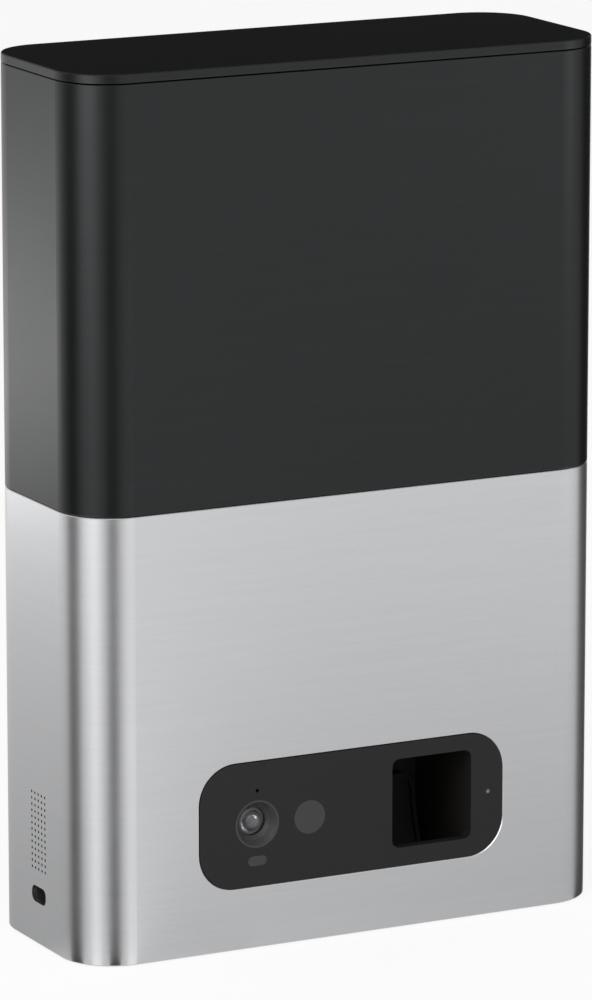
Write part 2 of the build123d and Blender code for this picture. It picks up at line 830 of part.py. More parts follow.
def dosing_motor():
    """A small gear motor: a square gearbox with a flat-sided can behind it."""
    gearbox_front = dosing_half_depth - dosing_gearbox_length
    size = Rectangle(dosing_motor_width, dosing_motor_height)
    gearbox = deep(at(dosing_motor_x, dosing_z, size), gearbox_front, dosing_half_depth)
    can_sketch = Circle(dosing_motor_width / 2) & Rectangle(dosing_motor_width, dosing_motor_height)
    can = deep(at(dosing_motor_x, dosing_z, can_sketch), gearbox_front - dosing_can_length, gearbox_front)
    boss = deep(
        at(dosing_motor_x, dosing_z, Circle(motor_boss_radius)), dosing_half_depth, dosing_half_depth + 0.8
    )
    tail_end = gearbox_front - dosing_can_length
    tail = deep(at(dosing_motor_x, dosing_z, Circle(2.5)), tail_end - 0.8, tail_end)
    return gearbox + can + boss + tail


clamp_front = 7.5
clamp_back = 13.5
clamp_middle = (clamp_front + clamp_back) / 2
clamp_wall = 2.0
clamp_ear = 7.0
clamp_half = dosing_motor_height / 2 + clamp_wall
clamp_screw_heights = [dosing_z - clamp_half - clamp_ear / 2, dosing_z + clamp_half + clamp_ear / 2]


def dosing_motor_clamp():
    """A strap round the gearbox, with two ears against the side of the housing."""
    wall_x = treat_x + dosing_half_width
    outer_x = dosing_motor_x + dosing_motor_width / 2 + clamp_wall
    z_low = dosing_z - clamp_half
    z_high = dosing_z + clamp_half
    strap = block((wall_x, outer_x), (clamp_front, clamp_back), (z_low, z_high))
    strap += block((wall_x, wall_x + clamp_wall), (clamp_front, clamp_back), (z_low - clamp_ear, z_high + clamp_ear))
    pocket = Rectangle(dosing_motor_width + 2 * slip_gap, dosing_motor_height + 2 * slip_gap)
    strap -= deep(at(dosing_motor_x, dosing_z, pocket), clamp_front - 1, clamp_back + 1)
    for z in clamp_screw_heights:
        hole = at(clamp_middle, z, Circle(screw_radius + slip_gap))
        strap -= across(hole, wall_x - 1, wall_x + clamp_wall + 1)
    return strap


# Drop tube and chute -------------------------------------------------------------------


tube_top = dosing_bottom - slip_gap
tube_foot = chute_top + slip_gap
tube_flange = 2.0
tube_flange_reach = 4.0
drop_middle = (drop_front + drop_back) / 2
tube_foot_depth = drop_back - drop_front - 2.0


def slanted(x_size, y_top, y_foot, z_top, z_foot, radius):
    """A four-sided duct that leans forward as it goes down."""
    head = Plane.XY.offset(z_top) * at(treat_x, 0, rounded(x_size, y_top, radius))
    foot = Plane.XY.offset(z_foot) * at(treat_x, drop_middle, rounded(x_size, y_foot, radius))
    return loft([foot, head])


def drop_tube():
    """The leaning duct from the dosing outlet down to the space in front of the thrower."""
    inside_x = 2 * outlet_half
    inside_top = 2 * inlet_half
    wall = 2 * tube_wall
    body = slanted(inside_x + wall, inside_top + wall, tube_foot_depth + wall, tube_top, tube_foot, 3)
    reach = wall + 2 * tube_flange_reach
    top_plate = at(treat_x, 0, rounded(inside_x + reach, inside_top + wall, 3))
    body += tall(top_plate, tube_top - tube_flange, tube_top)
    foot_plate = at(treat_x, drop_middle, rounded(inside_x + wall + 2, tube_foot_depth + wall - 0.4, 3))
    body += tall(foot_plate, tube_foot, tube_foot + tube_flange)
    return body - slanted(inside_x, inside_top, tube_foot_depth, tube_top, tube_foot, 2)


def ramp_z(y):
    """The height of the sloping floor, which falls from the opening's lip to the thrower."""
    return chute_floor - ramp_slope * (y - chute_front)


def chute_outside():
    """The side view of the chute: a ramp in front, a well for the thrower behind it."""
    under = chute_wall * sqrt(1 + ramp_slope ** 2)
    well_front = ramp_end - chute_wall
    return make_face(Polyline(
        (chute_front, ramp_z(chute_front) - under),
        (well_front, ramp_z(well_front) - under),
        (well_front, chute_bottom),
        (chute_back, chute_bottom),
        (chute_back, chute_top),
        (chute_front, chute_top),
        close=True,
    ))


def chute_inside():
    return make_face(Polyline(
        (chute_front - 1, ramp_z(chute_front - 1)),
        (ramp_end, ramp_z(ramp_end)),
        (ramp_end, chute_well_floor),
        (chute_inner_back, chute_well_floor),
        (chute_inner_back, chute_ceiling),
        (chute_front - 1, chute_ceiling),
        close=True,
    ))


chute_ear_rise = panel_height / 2 - 8.0
chute_ears = [(side, z) for side in (-1, 1) for z in (panel_z - chute_ear_rise, panel_z + chute_ear_rise)]
chute_ear_reach = 6.5
ear_half_height = 3.5


def chute_ear_x(side):
    wall = chute_half + chute_wall
    return treat_x + side * (wall + chute_ear_reach / 2 + 0.2)


stop_gap = 0.35
stop_pad = 1.6
stop_shelf = 2.0
stop_length = 4.0
tooth_root_half = 3.7
low_stop_angle = mesh_direction + 360 / sector_teeth * sector_first - tooth_root_half
high_stop_angle = mesh_direction + 360 / sector_teeth * (sector_first + sector_count - 1) + tooth_root_half + arm_swing
stop_places = [(low_stop_angle, arm_hub_radius + 2.8, -1), (high_stop_angle, arm_hub_radius + 6.5, 1)]


def stop_sketch(angle, inner, side, near, far):
    """A strip beside the edge of the toothed sector, as it lies at one end of its swing."""
    strip = at(inner + stop_length / 2, side * (near + far) / 2, Rectangle(stop_length, far - near))
    return at(pivot_y, pivot_z, Rot(0, 0, angle) * strip)


def launch_chute():
    """The moulded duct that the treats fly out of, with the thrower's well at its back."""
    duct = across(chute_outside(), chute_left - chute_wall, chute_right + chute_wall)
    duct -= across(chute_inside(), chute_left, chute_right)
    duct -= block(
        (treat_x - outlet_half - 0.5, treat_x + outlet_half + 0.5),
        (drop_front + 0.5, drop_back - 0.5),
        (chute_ceiling - 1, chute_top + 1),
    )
    for side in (-1, 1):
        wall = treat_x + side * (chute_half + chute_wall)
        boss = sorted((wall - side, wall + side * bush_boss))
        duct += across(at(pivot_y, pivot_z, Circle(arm_shaft_radius + bush_wall + 2)), *boss)
        bore = sorted((wall - side * (chute_wall + 1), wall + side * (bush_boss + 1)))
        duct -= across(at(pivot_y, pivot_z, Circle(arm_shaft_radius + bush_wall + press_gap)), *bore)
    for side, z in chute_ears:
        wall = treat_x + side * (chute_half + chute_wall)
        ear = sorted((wall - side, wall + side * chute_ear_reach))
        duct += block(ear, (chute_front, chute_front + ear_thickness), (z - ear_half_height, z + ear_half_height))
        hole = at(chute_ear_x(side), z, Circle(screw_radius + slip_gap))
        duct -= deep(hole, chute_front - 1, chute_front + ear_thickness + 1)
    for x, y in chute_feet:
        reach = chute_foot_radius + 1
        x_span = (x, x + reach) if y < chute_back else (x - chute_foot_radius, x + chute_foot_radius)
        y_span = (y - reach, y) if y > chute_back else (y - chute_foot_radius, y + chute_foot_radius)
        foot_top = chute_bottom + ear_thickness
        duct += tall(at(x, y, Circle(chute_foot_radius)), chute_bottom, foot_top)
        duct += block(x_span, y_span, (chute_bottom, foot_top))
        duct -= tall(at(x, y, Circle(screw_radius + slip_gap)), chute_bottom - 1, foot_top + 1)
    for angle, inner, side in stop_places:
        shelf = stop_sketch(angle, inner, side, stop_gap + stop_pad, stop_gap + stop_pad + stop_shelf)
        duct += across(shelf, chute_right + 0.5, sector_right)
    duct += across(at(*spring_peg, Circle(spring_peg_radius)), spring_start - spring_wire - 0.3, chute_left - 0.5)
    for y, z in bracket_posts:
        hole = at(y, z, Circle(screw_radius + press_gap))
        duct -= across(hole, chute_right + 0.4, chute_right + chute_wall + 1)
    return duct


def arm_stops():
    """Two soft blocks that the toothed sector meets at the ends of its swing."""
    pads = [
        across(stop_sketch(angle, inner, side, stop_gap, stop_gap + stop_pad), sector_left - 0.6, sector_right)
        for angle, inner, side in stop_places
    ]
    return group(pads)


def chute_screws():
    """The screws of the chute's feet, of the front panel's ears and of the motor bracket."""
    foot_one = Pos(0, 0, chute_bottom + ear_thickness) * small_screw(chute_screw_length)
    screws = [Pos(x, y, 0) * foot_one for x, y in chute_feet]
    panel_one = Rot(-90, 0, 0) * small_screw(ear_thickness + 2.4)
    screws += [Pos(chute_ear_x(side), chute_front + ear_thickness, z) * panel_one for side, z in chute_ears]
    length = launch_plate_right - chute_right - 0.6
    bracket_one = Rot(0, 90, 0) * screw(1.9, 1.0, screw_radius, length)
    screws += [Pos(launch_plate_right, y, z) * bracket_one for y, z in bracket_posts]
    return group(screws)


# Thrower -------------------------------------------------------------------------------


hub_half = chute_half - bush_flange - 0.2
rib_inset = 0.5
rib_bend_z = pivot_z + 8.5
rib_top_z = pivot_z + 20.0
rib_spacing = 14.0
rib_thickness = 1.8


def arm_curve_band(front, back):
    """A curved strip of the thrower's side view between two depths behind its front edge."""
    middle = (arm_curve_y, arm_top)
    band = at(*middle, Circle(arm_curve + back)) - at(*middle, Circle(arm_curve + front))
    return band & at(pivot_y, (pivot_z + arm_top) / 2, Rectangle(30, arm_top - pivot_z))


def arm_front_view(inset):
    """The front view of the thrower: a tall plate with two round top corners."""
    half = arm_half - inset
    low = pivot_z - 1
    high = arm_top - inset
    plate = at(treat_x, (low + high) / 2, Rectangle(2 * half, high - low))
    top = plate.vertices().group_by(Axis.Y)[-1]
    return fillet(top, arm_tip_corner - inset)


def launch_arm():
    """The thrower: a curved plate with a low rim, two ribs behind and a hub that turns on the shaft."""
    ends = (treat_x - arm_half - 1, treat_x + arm_half + 1)
    plate = across(arm_curve_band(arm_rim, arm_rim + arm_plate), *ends)
    plate &= deep(arm_front_view(0), pivot_y - 20, pivot_y + 20)
    rim = across(arm_curve_band(0, arm_rim + 0.01), *ends)
    rim &= deep(arm_front_view(0) - arm_front_view(arm_rim_wall), pivot_y - 20, pivot_y + 20)
    arm = plate + rim
    rib_y = arm_back_y - rib_inset
    rib = make_face(Polyline(
        (pivot_y, pivot_z), (pivot_y + arm_hub_radius, pivot_z), (rib_y, rib_bend_z), (rib_y, rib_top_z), close=True
    ))
    rib -= at(arm_curve_y, arm_top, Circle(arm_curve + arm_rim + arm_plate / 2))
    rib -= at(pivot_y, pivot_z, Circle(arm_hub_radius - 1))
    for x in (treat_x - rib_spacing / 2, treat_x + rib_spacing / 2):
        arm += across(rib, x - rib_thickness / 2, x + rib_thickness / 2)
    arm += across(at(pivot_y, pivot_z, Circle(arm_hub_radius)), treat_x - hub_half, treat_x + hub_half)
    return arm - across(
        at(pivot_y, pivot_z, Circle(arm_shaft_radius + press_gap)), treat_x - hub_half - 1, treat_x + hub_half + 1
    )


spring_turns = 4
spring_wire = 0.5
spring_radius = 3.2
spring_pitch = 1.3
spring_leg = 8.0
spring_peg_radius = 0.8
spring_start = chute_left - chute_wall - bush_boss - 1.0
spring_end = spring_start - spring_turns * spring_pitch
spring_peg = (pivot_y + spring_leg - 1.2, pivot_z + spring_radius + spring_wire + seat_gap + spring_peg_radius)
collar_right = spring_end - 2 * spring_wire
collar_left = collar_right - 1.8
collar_radius = spring_radius + 1.4


def launch_shaft():
    """The cross shaft: its left end has a collar with a hole for the end of the spring."""
    shaft = across(at(pivot_y, pivot_z, Circle(arm_shaft_radius)), collar_left - 0.4, sector_right + 0.8)
    shaft += across(at(pivot_y, pivot_z, Circle(collar_radius)), collar_left, collar_right)
    hole = at(pivot_y, pivot_z + spring_radius, Circle(spring_wire + slip_gap))
    return shaft - across(hole, collar_left - 1, collar_right + 1)


def launch_bushes():
    """The two flanged bushes that carry the cross shaft in the chute's walls."""
    bore = Circle(arm_shaft_radius + slip_gap)
    barrel = at(pivot_y, pivot_z, Circle(arm_shaft_radius + bush_wall) - bore)
    flange = at(pivot_y, pivot_z, Circle(arm_shaft_radius + bush_wall + 1) - bore)
    bushes = []
    for side in (-1, 1):
        inside = treat_x + side * chute_half
        outside = inside + side * (chute_wall + bush_boss)
        body = across(barrel, *sorted((inside, outside)))
        body += across(flange, *sorted((inside - side * bush_flange, inside)))
        bushes.append(body)
    return group(bushes)


def launch_sector():
    """The toothed sector on the shaft that the motor's pinion drives."""
    wedge = sector_sketch(sector_teeth, sector_module, mesh_direction, sector_first, sector_count)
    sector = wedge + Circle(arm_hub_radius + 1.5) - Circle(arm_shaft_radius + press_gap)
    return across(at(pivot_y, pivot_z, sector), sector_left, sector_right)


def launch_pinion():
    half_step = 180 / sector_pinion_teeth
    teeth = gear_sketch(sector_pinion_teeth, sector_module, mesh_direction + 180 + half_step)
    pinion = teeth - Circle(motor_shaft_radius + press_gap)
    return across(at(launch_axis_y, launch_axis_z, pinion), sector_left - 0.2, sector_right + 0.2)


def launch_motor_shaft():
    shaft = at(launch_axis_y, launch_axis_z, Circle(motor_shaft_radius))
    return across(shaft, sector_left - 0.2, launch_plate_right)


def launch_motor():
    """The thrower's gear motor: a round gearbox in front of a smaller can."""
    start = launch_plate_right + slip_gap
    middle = start + launch_gearbox_length
    end = inner_right - launch_end_gap - motor_tabs
    gearbox = across(at(launch_axis_y, launch_axis_z, Circle(launch_motor_radius)), start, middle)
    can = across(at(launch_axis_y, launch_axis_z, Circle(launch_can_radius)), middle, end)
    tail = across(at(launch_axis_y, launch_axis_z, Circle(3)), end, end + 1.2)
    tab_z = (launch_axis_z - 1.2, launch_axis_z + 1.2)
    tabs = block((end, end + motor_tabs), (launch_axis_y - 7, launch_axis_y - 6.5), tab_z)
    tabs += block((end, end + motor_tabs), (launch_axis_y + 6.5, launch_axis_y + 7), tab_z)
    return gearbox + can + tail + tabs


post_radius = 2.6
post_clear = launch_motor_radius + 3.2
top_post_z = chute_top - 4.8
top_post_shift = sqrt(max(post_clear ** 2 - (top_post_z - launch_axis_z) ** 2, 0))
bracket_posts = [
    (launch_axis_y - 14.5, launch_axis_z + 12.6),
    (min(chute_back - 4.0, launch_axis_y + 1.0 - top_post_shift), top_post_z),
    (launch_axis_y - 22.0, launch_axis_z - 3.9),
]


def launch_bracket():
    """The plate that holds the motor clear of the chute, on three posts."""
    wall = chute_right + chute_wall
    corners = Sketch() + [at(y, z, Circle(post_radius + 1.4)) for y, z in bracket_posts]
    disc = at(launch_axis_y, launch_axis_z, Circle(launch_motor_radius + 1))
    plate = make_hull((corners + disc).edges())
    plate -= at(launch_axis_y, launch_axis_z, Circle(motor_shaft_radius + 1.5))
    bracket = across(plate, launch_plate_left, launch_plate_right)
    for y, z in bracket_posts:
        bracket += across(at(y, z, Circle(post_radius)), wall, launch_plate_left)
        bracket -= across(at(y, z, Circle(screw_radius + slip_gap)), wall - 1, launch_plate_right + 1)
    return bracket


def return_spring():
    """A torsion spring on the shaft's left end: it winds up with the throw and brings the thrower back."""
    path = Helix(spring_pitch, spring_turns * spring_pitch, spring_radius, lefthand=True)
    section = Plane(path @ 0, z_dir=path % 0) * Circle(spring_wire)
    coil = sweep(section, path)
    leg = Pos(*(path @ 0)) * Rot(-90, 0, 0) * Pos(0, 0, spring_leg / 2) * Cylinder(spring_wire, spring_leg)
    tail_length = 4 * spring_wire
    tail = Pos(*(path @ 1)) * (Pos(0, 0, tail_length / 2) * Cylinder(spring_wire, tail_length) + Sphere(spring_wire))
    return Pos(spring_start, pivot_y, pivot_z) * Rot(0, -90, 0) * (coil + leg + tail)


# Front panel, camera and sensors -------------------------------------------------------


camera_bosses = [(x, z)
                 for x in (camera_board_left + 2.4, camera_board_right - 2.4)
                 for z in (camera_board_bottom + 2.4, camera_board_top - 2.4)]
boss_radius = 2.1
window_lip = 1.0
window_lip_thickness = 1.2
status_boss_z = [status_z - 5.0, status_z + 5.0]
status_board_front = panel_back + 3.6


def front_panel():
    """The dark panel: it sits flush in the lower sleeve and is held by a flange behind it."""
    face = rounded(panel_width - 2 * seat_gap, panel_height - 2 * seat_gap, panel_corner - seat_gap)
    flange = rounded(panel_width + 2 * panel_flange, panel_height + 2 * panel_flange, panel_corner + panel_flange)
    panel = deep(at(panel_x, panel_z, face), panel_face, inner_front)
    panel += deep(at(panel_x, panel_z, flange), inner_front + slip_gap, panel_back)
    panel += deep(at(panel_x, panel_z, face), inner_front, inner_front + slip_gap)
    for x, z in camera_bosses:
        panel += deep(at(x, z, Circle(boss_radius)), panel_back - 0.5, camera_board_front)
        panel -= deep(at(x, z, Circle(0.9)), camera_board_front - 6, camera_board_front + 1)
    for z in status_boss_z:
        panel += deep(at(status_x, z, Circle(1.6)), panel_back - 0.5, status_board_front)
    opening = rounded(opening_width, opening_height, opening_corner)
    panel -= deep(at(treat_x, treat_z, opening), front - 1, panel_back + 1)
    panel -= deep(at(lens_x, panel_z, Circle(lens_ring_radius)), front - 1, panel_back + 1)
    panel -= deep(at(round_window_x, panel_z, Circle(round_window_radius)), front - 1, panel_back + 1)
    panel -= deep(
        at(round_window_x, panel_z, Circle(round_window_radius + window_lip)),
        panel_back - window_lip_thickness, panel_back + 1,
    )
    slot = SlotOverall(slot_window_width, slot_window_height)
    panel -= deep(at(lens_x, slot_window_z, slot), front - 1, panel_back + 1)
    panel -= deep(at(lens_x, microphone_z, Circle(microphone_hole)), front - 1, panel_back + 1)
    panel -= deep(at(status_x, status_z, Circle(status_radius)), front - 1, panel_back + 1)
    for side, z in chute_ears:
        hole = at(chute_ear_x(side), z, Circle(screw_radius + press_gap))
        panel -= deep(hole, panel_back - 2.6, panel_back + 1)
    return panel


def turned(points, x, z):
    """Spins a profile of (radius, y) about a line along Y."""
    profile = make_face(Polyline(*[(r, y) for r, y in points], close=True))
    return Pos(x, 0, z) * revolve(profile, Axis.Y)


def lens_ring():
    """The dished bezel that narrows from the panel's face down to the lens."""
    outer = lens_ring_radius - slip_gap
    face = panel_face
    throat = face + lens_ring_depth
    rear = throat + 0.9
    return turned(
        [(outer, face), (outer, rear), (lens_mouth_radius, rear), (lens_mouth_radius, throat),
         (outer - 1.9, throat - 1.2), (outer - 0.5, face)],
        lens_x, panel_z,
    )


def lens_dome():
    """The front glass: a dome on a thin flange."""
    centre_y = front + dome_depth + dome_radius
    base_y = front + dome_base_depth
    dome = Pos(lens_x, centre_y, panel_z) * Sphere(dome_radius)
    dome &= block((lens_x - 9, lens_x + 9), (front, base_y + 0.1), (panel_z - 9, panel_z + 9))
    flange = deep(at(lens_x, panel_z, Circle(dome_flange_radius)), base_y, base_y + 1.2)
    return dome + flange


def lens_barrel():
    """The tube that holds the lens over the image sensor, with a square foot."""
    mouth = front + dome_base_depth + 0.2
    bore = dome_flange_radius + slip_gap
    tube = deep(at(lens_x, panel_z, Circle(barrel_radius)), mouth, camera_board_front)
    foot = deep(at(lens_x, panel_z, rounded(14, 14, 1.5)), camera_board_front - 1.6, camera_board_front)
    body = tube + foot
    seat = front + dome_base_depth + 1.2 + slip_gap
    body -= deep(at(lens_x, panel_z, Circle(bore)), mouth - 1, seat)
    body -= deep(at(lens_x, panel_z, Circle(bore - 1)), seat - 1, camera_board_front + 1)
    return body


def camera_board():
    span_x = camera_board_right - camera_board_left
    span_z = camera_board_top - camera_board_bottom
    middle = at(camera_board_left + span_x / 2, camera_board_bottom + span_z / 2, rounded(span_x, span_z, 2))
    board = deep(middle, camera_board_front, camera_board_back)
    for x, z in camera_bosses:
        board -= deep(at(x, z, Circle(1.0)), camera_board_front - 1, camera_board_back + 1)
    plug_z = camera_board_bottom + 3
    connector = block((lens_x + 1.5, lens_x + 13.5), (camera_board_back, camera_board_back + 1.4), (plug_z, plug_z + 3.5))
    return board + connector


def sensor_windows():
    """The smoked round window over the infrared lamps and the small stadium light guide."""
    disc = deep(
        at(round_window_x, panel_z, Circle(round_window_radius - slip_gap)), panel_face, panel_back - 0.1
    )
    lip_front = panel_back - window_lip_thickness + slip_gap
    lip = at(round_window_x, panel_z, Circle(round_window_radius + window_lip - slip_gap))
    slot = SlotOverall(slot_window_width - 2 * slip_gap, slot_window_height - 2 * slip_gap)
    guide = deep(at(lens_x, slot_window_z, slot), panel_face, camera_board_front - 1.2)
    return group([disc + deep(lip, lip_front, panel_back - 0.1), guide])


def infrared_emitters():
    """Four small domed lamps on the camera board."""
    body = Pos(0, 0, 2.0) * Cylinder(1.5, 4.0) + Pos(0, 0, 4.0) * Sphere(1.5)
    one = Rot(90, 0, 0) * body
    spots = [Pos(round_window_x + dx, camera_board_front, panel_z + dz) for dx in (-2.6, 2.6) for dz in (-2.6, 2.6)]
    return group(spot * one for spot in spots)


def camera_board_chips():
    """The image sensor behind the lens, the light sensor below it and the microphone above it."""
    image = deep(at(lens_x, panel_z, Rectangle(5, 4.2)), camera_board_front - 1.0, camera_board_front)
    light = deep(at(lens_x, slot_window_z, Rectangle(3.2, 2)), camera_board_front - 1.0, camera_board_front)
    sound = deep(at(lens_x, microphone_z, Rectangle(3.8, 3)), camera_board_front - 1.1, camera_board_front)
    return group([image, light, sound])


def status_light():
    """The light pipe of the status lamp."""
    tip = at(status_x, status_z, Circle(status_radius - slip_gap))
    body = at(status_x, status_z, Circle(1.6))
    return deep(tip, panel_face, panel_back) + deep(body, panel_back, status_board_front - 0.9)


def status_board():
    plate = at(status_x, status_z, rounded(5.6, 14, 1))
    lamp = at(status_x, status_z, Rectangle(1.8, 1.8))
    board = deep(plate, status_board_front, status_board_front + 0.8)
    return board + deep(lamp, status_board_front - 0.8, status_board_front)


# Speaker and power inlet ---------------------------------------------------------------


def sound_seals():
    """Two soft seals: the ring round the speaker and the tube between pinhole and microphone."""
    ring = rounded(speaker_width, speaker_height, speaker_corner) - rounded(
        speaker_width - 4, speaker_height - 4, speaker_corner - 2
    )
    band = across(at(speaker_y, speaker_z, ring), inner_left + slip_gap, speaker_front - slip_gap)
    tube = at(lens_x, microphone_z, Circle(2.2) - Circle(0.9))
    boot = deep(tube, panel_back + slip_gap, camera_board_front - 1.1 - slip_gap)
    return group([band, boot])


def speaker():
    """A flat loudspeaker: a frame with a shallow cone in front and a magnet behind."""
    frame = across(
        at(speaker_y, speaker_z, rounded(speaker_width, speaker_height, speaker_corner)),
        speaker_front, speaker_front + speaker_thickness,
    )
    cone = rounded(speaker_width - 4.4, speaker_height - 4.4, speaker_corner - 2.2)
    frame -= across(at(speaker_y, speaker_z, cone), speaker_front - 1, speaker_front + 0.8)
    cap = across(at(speaker_y, speaker_z, rounded(6, 18, 2.5)), speaker_front + 0.3, speaker_front + 0.9)
    magnet = across(
        at(speaker_y, speaker_z, rounded(magnet_width, magnet_height, 1)),
        speaker_front + speaker_thickness, speaker_front + speaker_thickness + magnet_depth,
    )
    return frame + cap + magnet


def inlet_surround():
    """The plastic funnel behind the inlet slot that guides the plug."""
    ring = rounded(inlet_width + 3, inlet_height + 3, inlet_corner + 1.5) - rounded(
        inlet_width, inlet_height, inlet_corner
    )
    return across(at(inlet_y, inlet_z, ring), inner_left + slip_gap, left + inlet_depth)


def power_socket():
    """The metal shell of the socket with its thin contact tongue."""
    start = left + inlet_depth + slip_gap
    corner = socket_height / 2 - 0.05
    shell = rounded(socket_width, socket_height, corner)
    hollow = rounded(socket_width - 2 * socket_wall, socket_height - 2 * socket_wall, corner - socket_wall)
    body = across(at(inlet_y, inlet_z, shell), start, start + socket_length)
    body -= across(at(inlet_y, inlet_z, hollow), start - 1, start + socket_length - 1.2)
    tongue = across(at(inlet_y, inlet_z, Rectangle(6.6, 0.7)), start + 0.8, start + socket_length - 1)
    return body + tongue


def power_board():
    """The small board under the power socket."""
    start = left + inlet_depth + slip_gap
    end = power_board_back_x + 4
    middle = (start + end) / 2
    plate = tall(
        at(middle, inlet_y, rounded(end - start, 17, 1.5)), power_board_bottom, power_board_bottom + board_thickness
    )
    for x, y in power_board_feet:
        plate -= tall(at(x, y, Circle(screw_radius + slip_gap)), power_board_bottom - 1, power_board_bottom + 3)
    return plate


# Main board, carrier and setup button --------------------------------------------------


board_left = carrier_left + main_board_inset
board_right = carrier_right - main_board_inset
board_spots = [(x, z)
               for x in (board_left + 4, board_right - 4)
               for z in (main_board_bottom + 4, main_board_top - 4)]


def board_carrier():
    """The upright plate on the base that carries the main board."""
    middle = at(
        (carrier_left + carrier_right) / 2, (base_top + carrier_top) / 2,
        Rectangle(carrier_right - carrier_left, carrier_top - base_top),
    )
    window = at(
        (carrier_left + carrier_right) / 2 + 6, (main_board_bottom + main_board_top) / 2, rounded(36, 46, 4)
    )
    plate = deep(middle - window, carrier_front, carrier_back)
    for x, z in board_spots:
        plate += deep(at(x, z, Circle(2.6)), main_board_back, carrier_front)
        plate -= deep(at(x, z, Circle(screw_radius + press_gap)), main_board_back - 1, carrier_back + 1)
    for x, y in carrier_feet:
        plate += block((x - 6, x + 6), (y - 4, carrier_front + 1), (base_top, base_top + 2))
        plate -= tall(at(x, y, Circle(screw_radius + slip_gap)), base_top - 1, base_top + 3)
    guide = at(button_x, button_z, Circle(button_stem_radius + slip_gap))
    plate -= deep(guide, carrier_front - 1, carrier_back + 1)
    return plate


def main_board():
    size = rounded(board_right - board_left, main_board_top - main_board_bottom, 2)
    middle = at((board_left + board_right) / 2, (main_board_bottom + main_board_top) / 2, size)
    board = deep(middle, main_board_front, main_board_back)
    for x, z in board_spots:
        board -= deep(at(x, z, Circle(screw_radius + slip_gap)), main_board_front - 1, main_board_back + 1)
    return board


def board_screws():
    """The screws of the three boards and of the carrier's feet."""
    main_one = Rot(90, 0, 0) * small_screw(5)
    screws = [Pos(x, main_board_front, z) * main_one for x, z in board_spots]
    camera_one = Rot(-90, 0, 0) * screw(1.8, 1.0, 0.85, 5)
    screws += [Pos(x, camera_board_back, z) * camera_one for x, z in camera_bosses]
    power_one = Pos(0, 0, power_board_bottom + board_thickness) * small_screw(6)
    screws += [Pos(x, y, 0) * power_one for x, y in power_board_feet]
    foot_one = Pos(0, 0, base_top + 2) * small_screw(3.8)
    screws += [Pos(x, y, 0) * foot_one for x, y in carrier_feet]
    return group(screws)


def shield_can():
    """The thin metal lid over the processor."""
    can = block(
        (board_left + 20, board_left + 44), (main_board_front - 2.6, main_board_front),
        (main_board_bottom + 28, main_board_bottom + 50),
    )
    edges = can.edges().filter_by(Axis.Y)
    return fillet(edges, 1.2)


def board_components():
    """The plug housings, three round capacitors and, behind the board, the setup switch."""
    high = main_board_bottom + 60
    low = main_board_bottom + 12
    places = [
        (board_left + 8, high, 7.0), (board_left + 20, high, 5.0),
        (board_right - 14, high, 7.0), (board_right - 12, low, 10.0),
    ]
    y_span = (main_board_front - 4.5, main_board_front)
    parts = [block((x - w / 2, x + w / 2), y_span, (z - 2, z + 2)) for x, z, w in places]
    can = Rot(90, 0, 0) * (Pos(0, 0, 4) * Cylinder(3.1, 8))
    parts += [Pos(board_left + x, main_board_front, low + 8) * can for x in (10, 18, 26)]
    switch = deep(at(button_x, button_z, rounded(5.2, 5.2, 0.6)), main_board_back, main_board_back + 1.4)
    switch += deep(at(button_x, button_z, Circle(1.2)), main_board_back + 1.4, main_board_back + 1.6)
    return group(parts + [switch])


def setup_button():
    """A round cap flush with the rear wall, on a stem that reaches the switch."""
    tip = main_board_back + 1.6 + button_travel + 0.1
    cap = deep(at(button_x, button_z, Circle(button_radius)), inner_back - 2.0, back - 0.2)
    collar = deep(at(button_x, button_z, Circle(button_radius + 1.1)), inner_back - 2.4, inner_back - 0.8)
    stem = deep(at(button_x, button_z, Circle(button_stem_radius)), tip, inner_back - 2.0)
    return cap + collar + stem


pieces = [
    base_pad, base_plate, frame_screws, lower_shell, upper_shell, chassis, top_collar, hanger_plate,
    lid_plate, lid_plug, lid_seal, lid_screws,
    treat_container, spout_seal,
    dosing_housing, dosing_cover, dosing_screws, dosing_bushes,
    dosing_wheel, dosing_shaft, dosing_gear, dosing_pinion, dosing_motor_shaft,
    dosing_motor, dosing_motor_clamp,
    drop_tube, launch_chute, arm_stops, chute_screws,
    launch_arm, launch_shaft, launch_bushes, launch_sector, return_spring,
    launch_pinion, launch_motor_shaft, launch_motor, launch_bracket,
    front_panel, lens_ring, lens_dome, lens_barrel, camera_board, camera_board_chips,
    sensor_windows, infrared_emitters, status_light, status_board,
    speaker, sound_seals, inlet_surround, power_socket, power_board,
    board_carrier, main_board, board_screws, shield_can, board_components, setup_button,
]


def build():
    os.makedirs("parts", exist_ok=True)
    for piece in pieces:
        write(piece.__name__, piece())


build()
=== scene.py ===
# %% [markdown]
# # A treat tossing pet camera, finished in Blender
#
# The object is a slim tower in two anodised aluminium sleeves: a black one round the treat bin and a
# silver one round the works. A dark panel near the foot holds a lens, two smoked windows and the square
# mouth that treats fly out of.
#
# Every solid part is already modelled and comes in as a fixed frame, in metres, standing on z = 0 with
# its front towards -Y. This lesson lights it, gives each part a believable finish made of shader nodes,
# and adds the small pieces that are easier to make here than as solids.

# %% Load the frame
from math import cos, pi, radians, sin

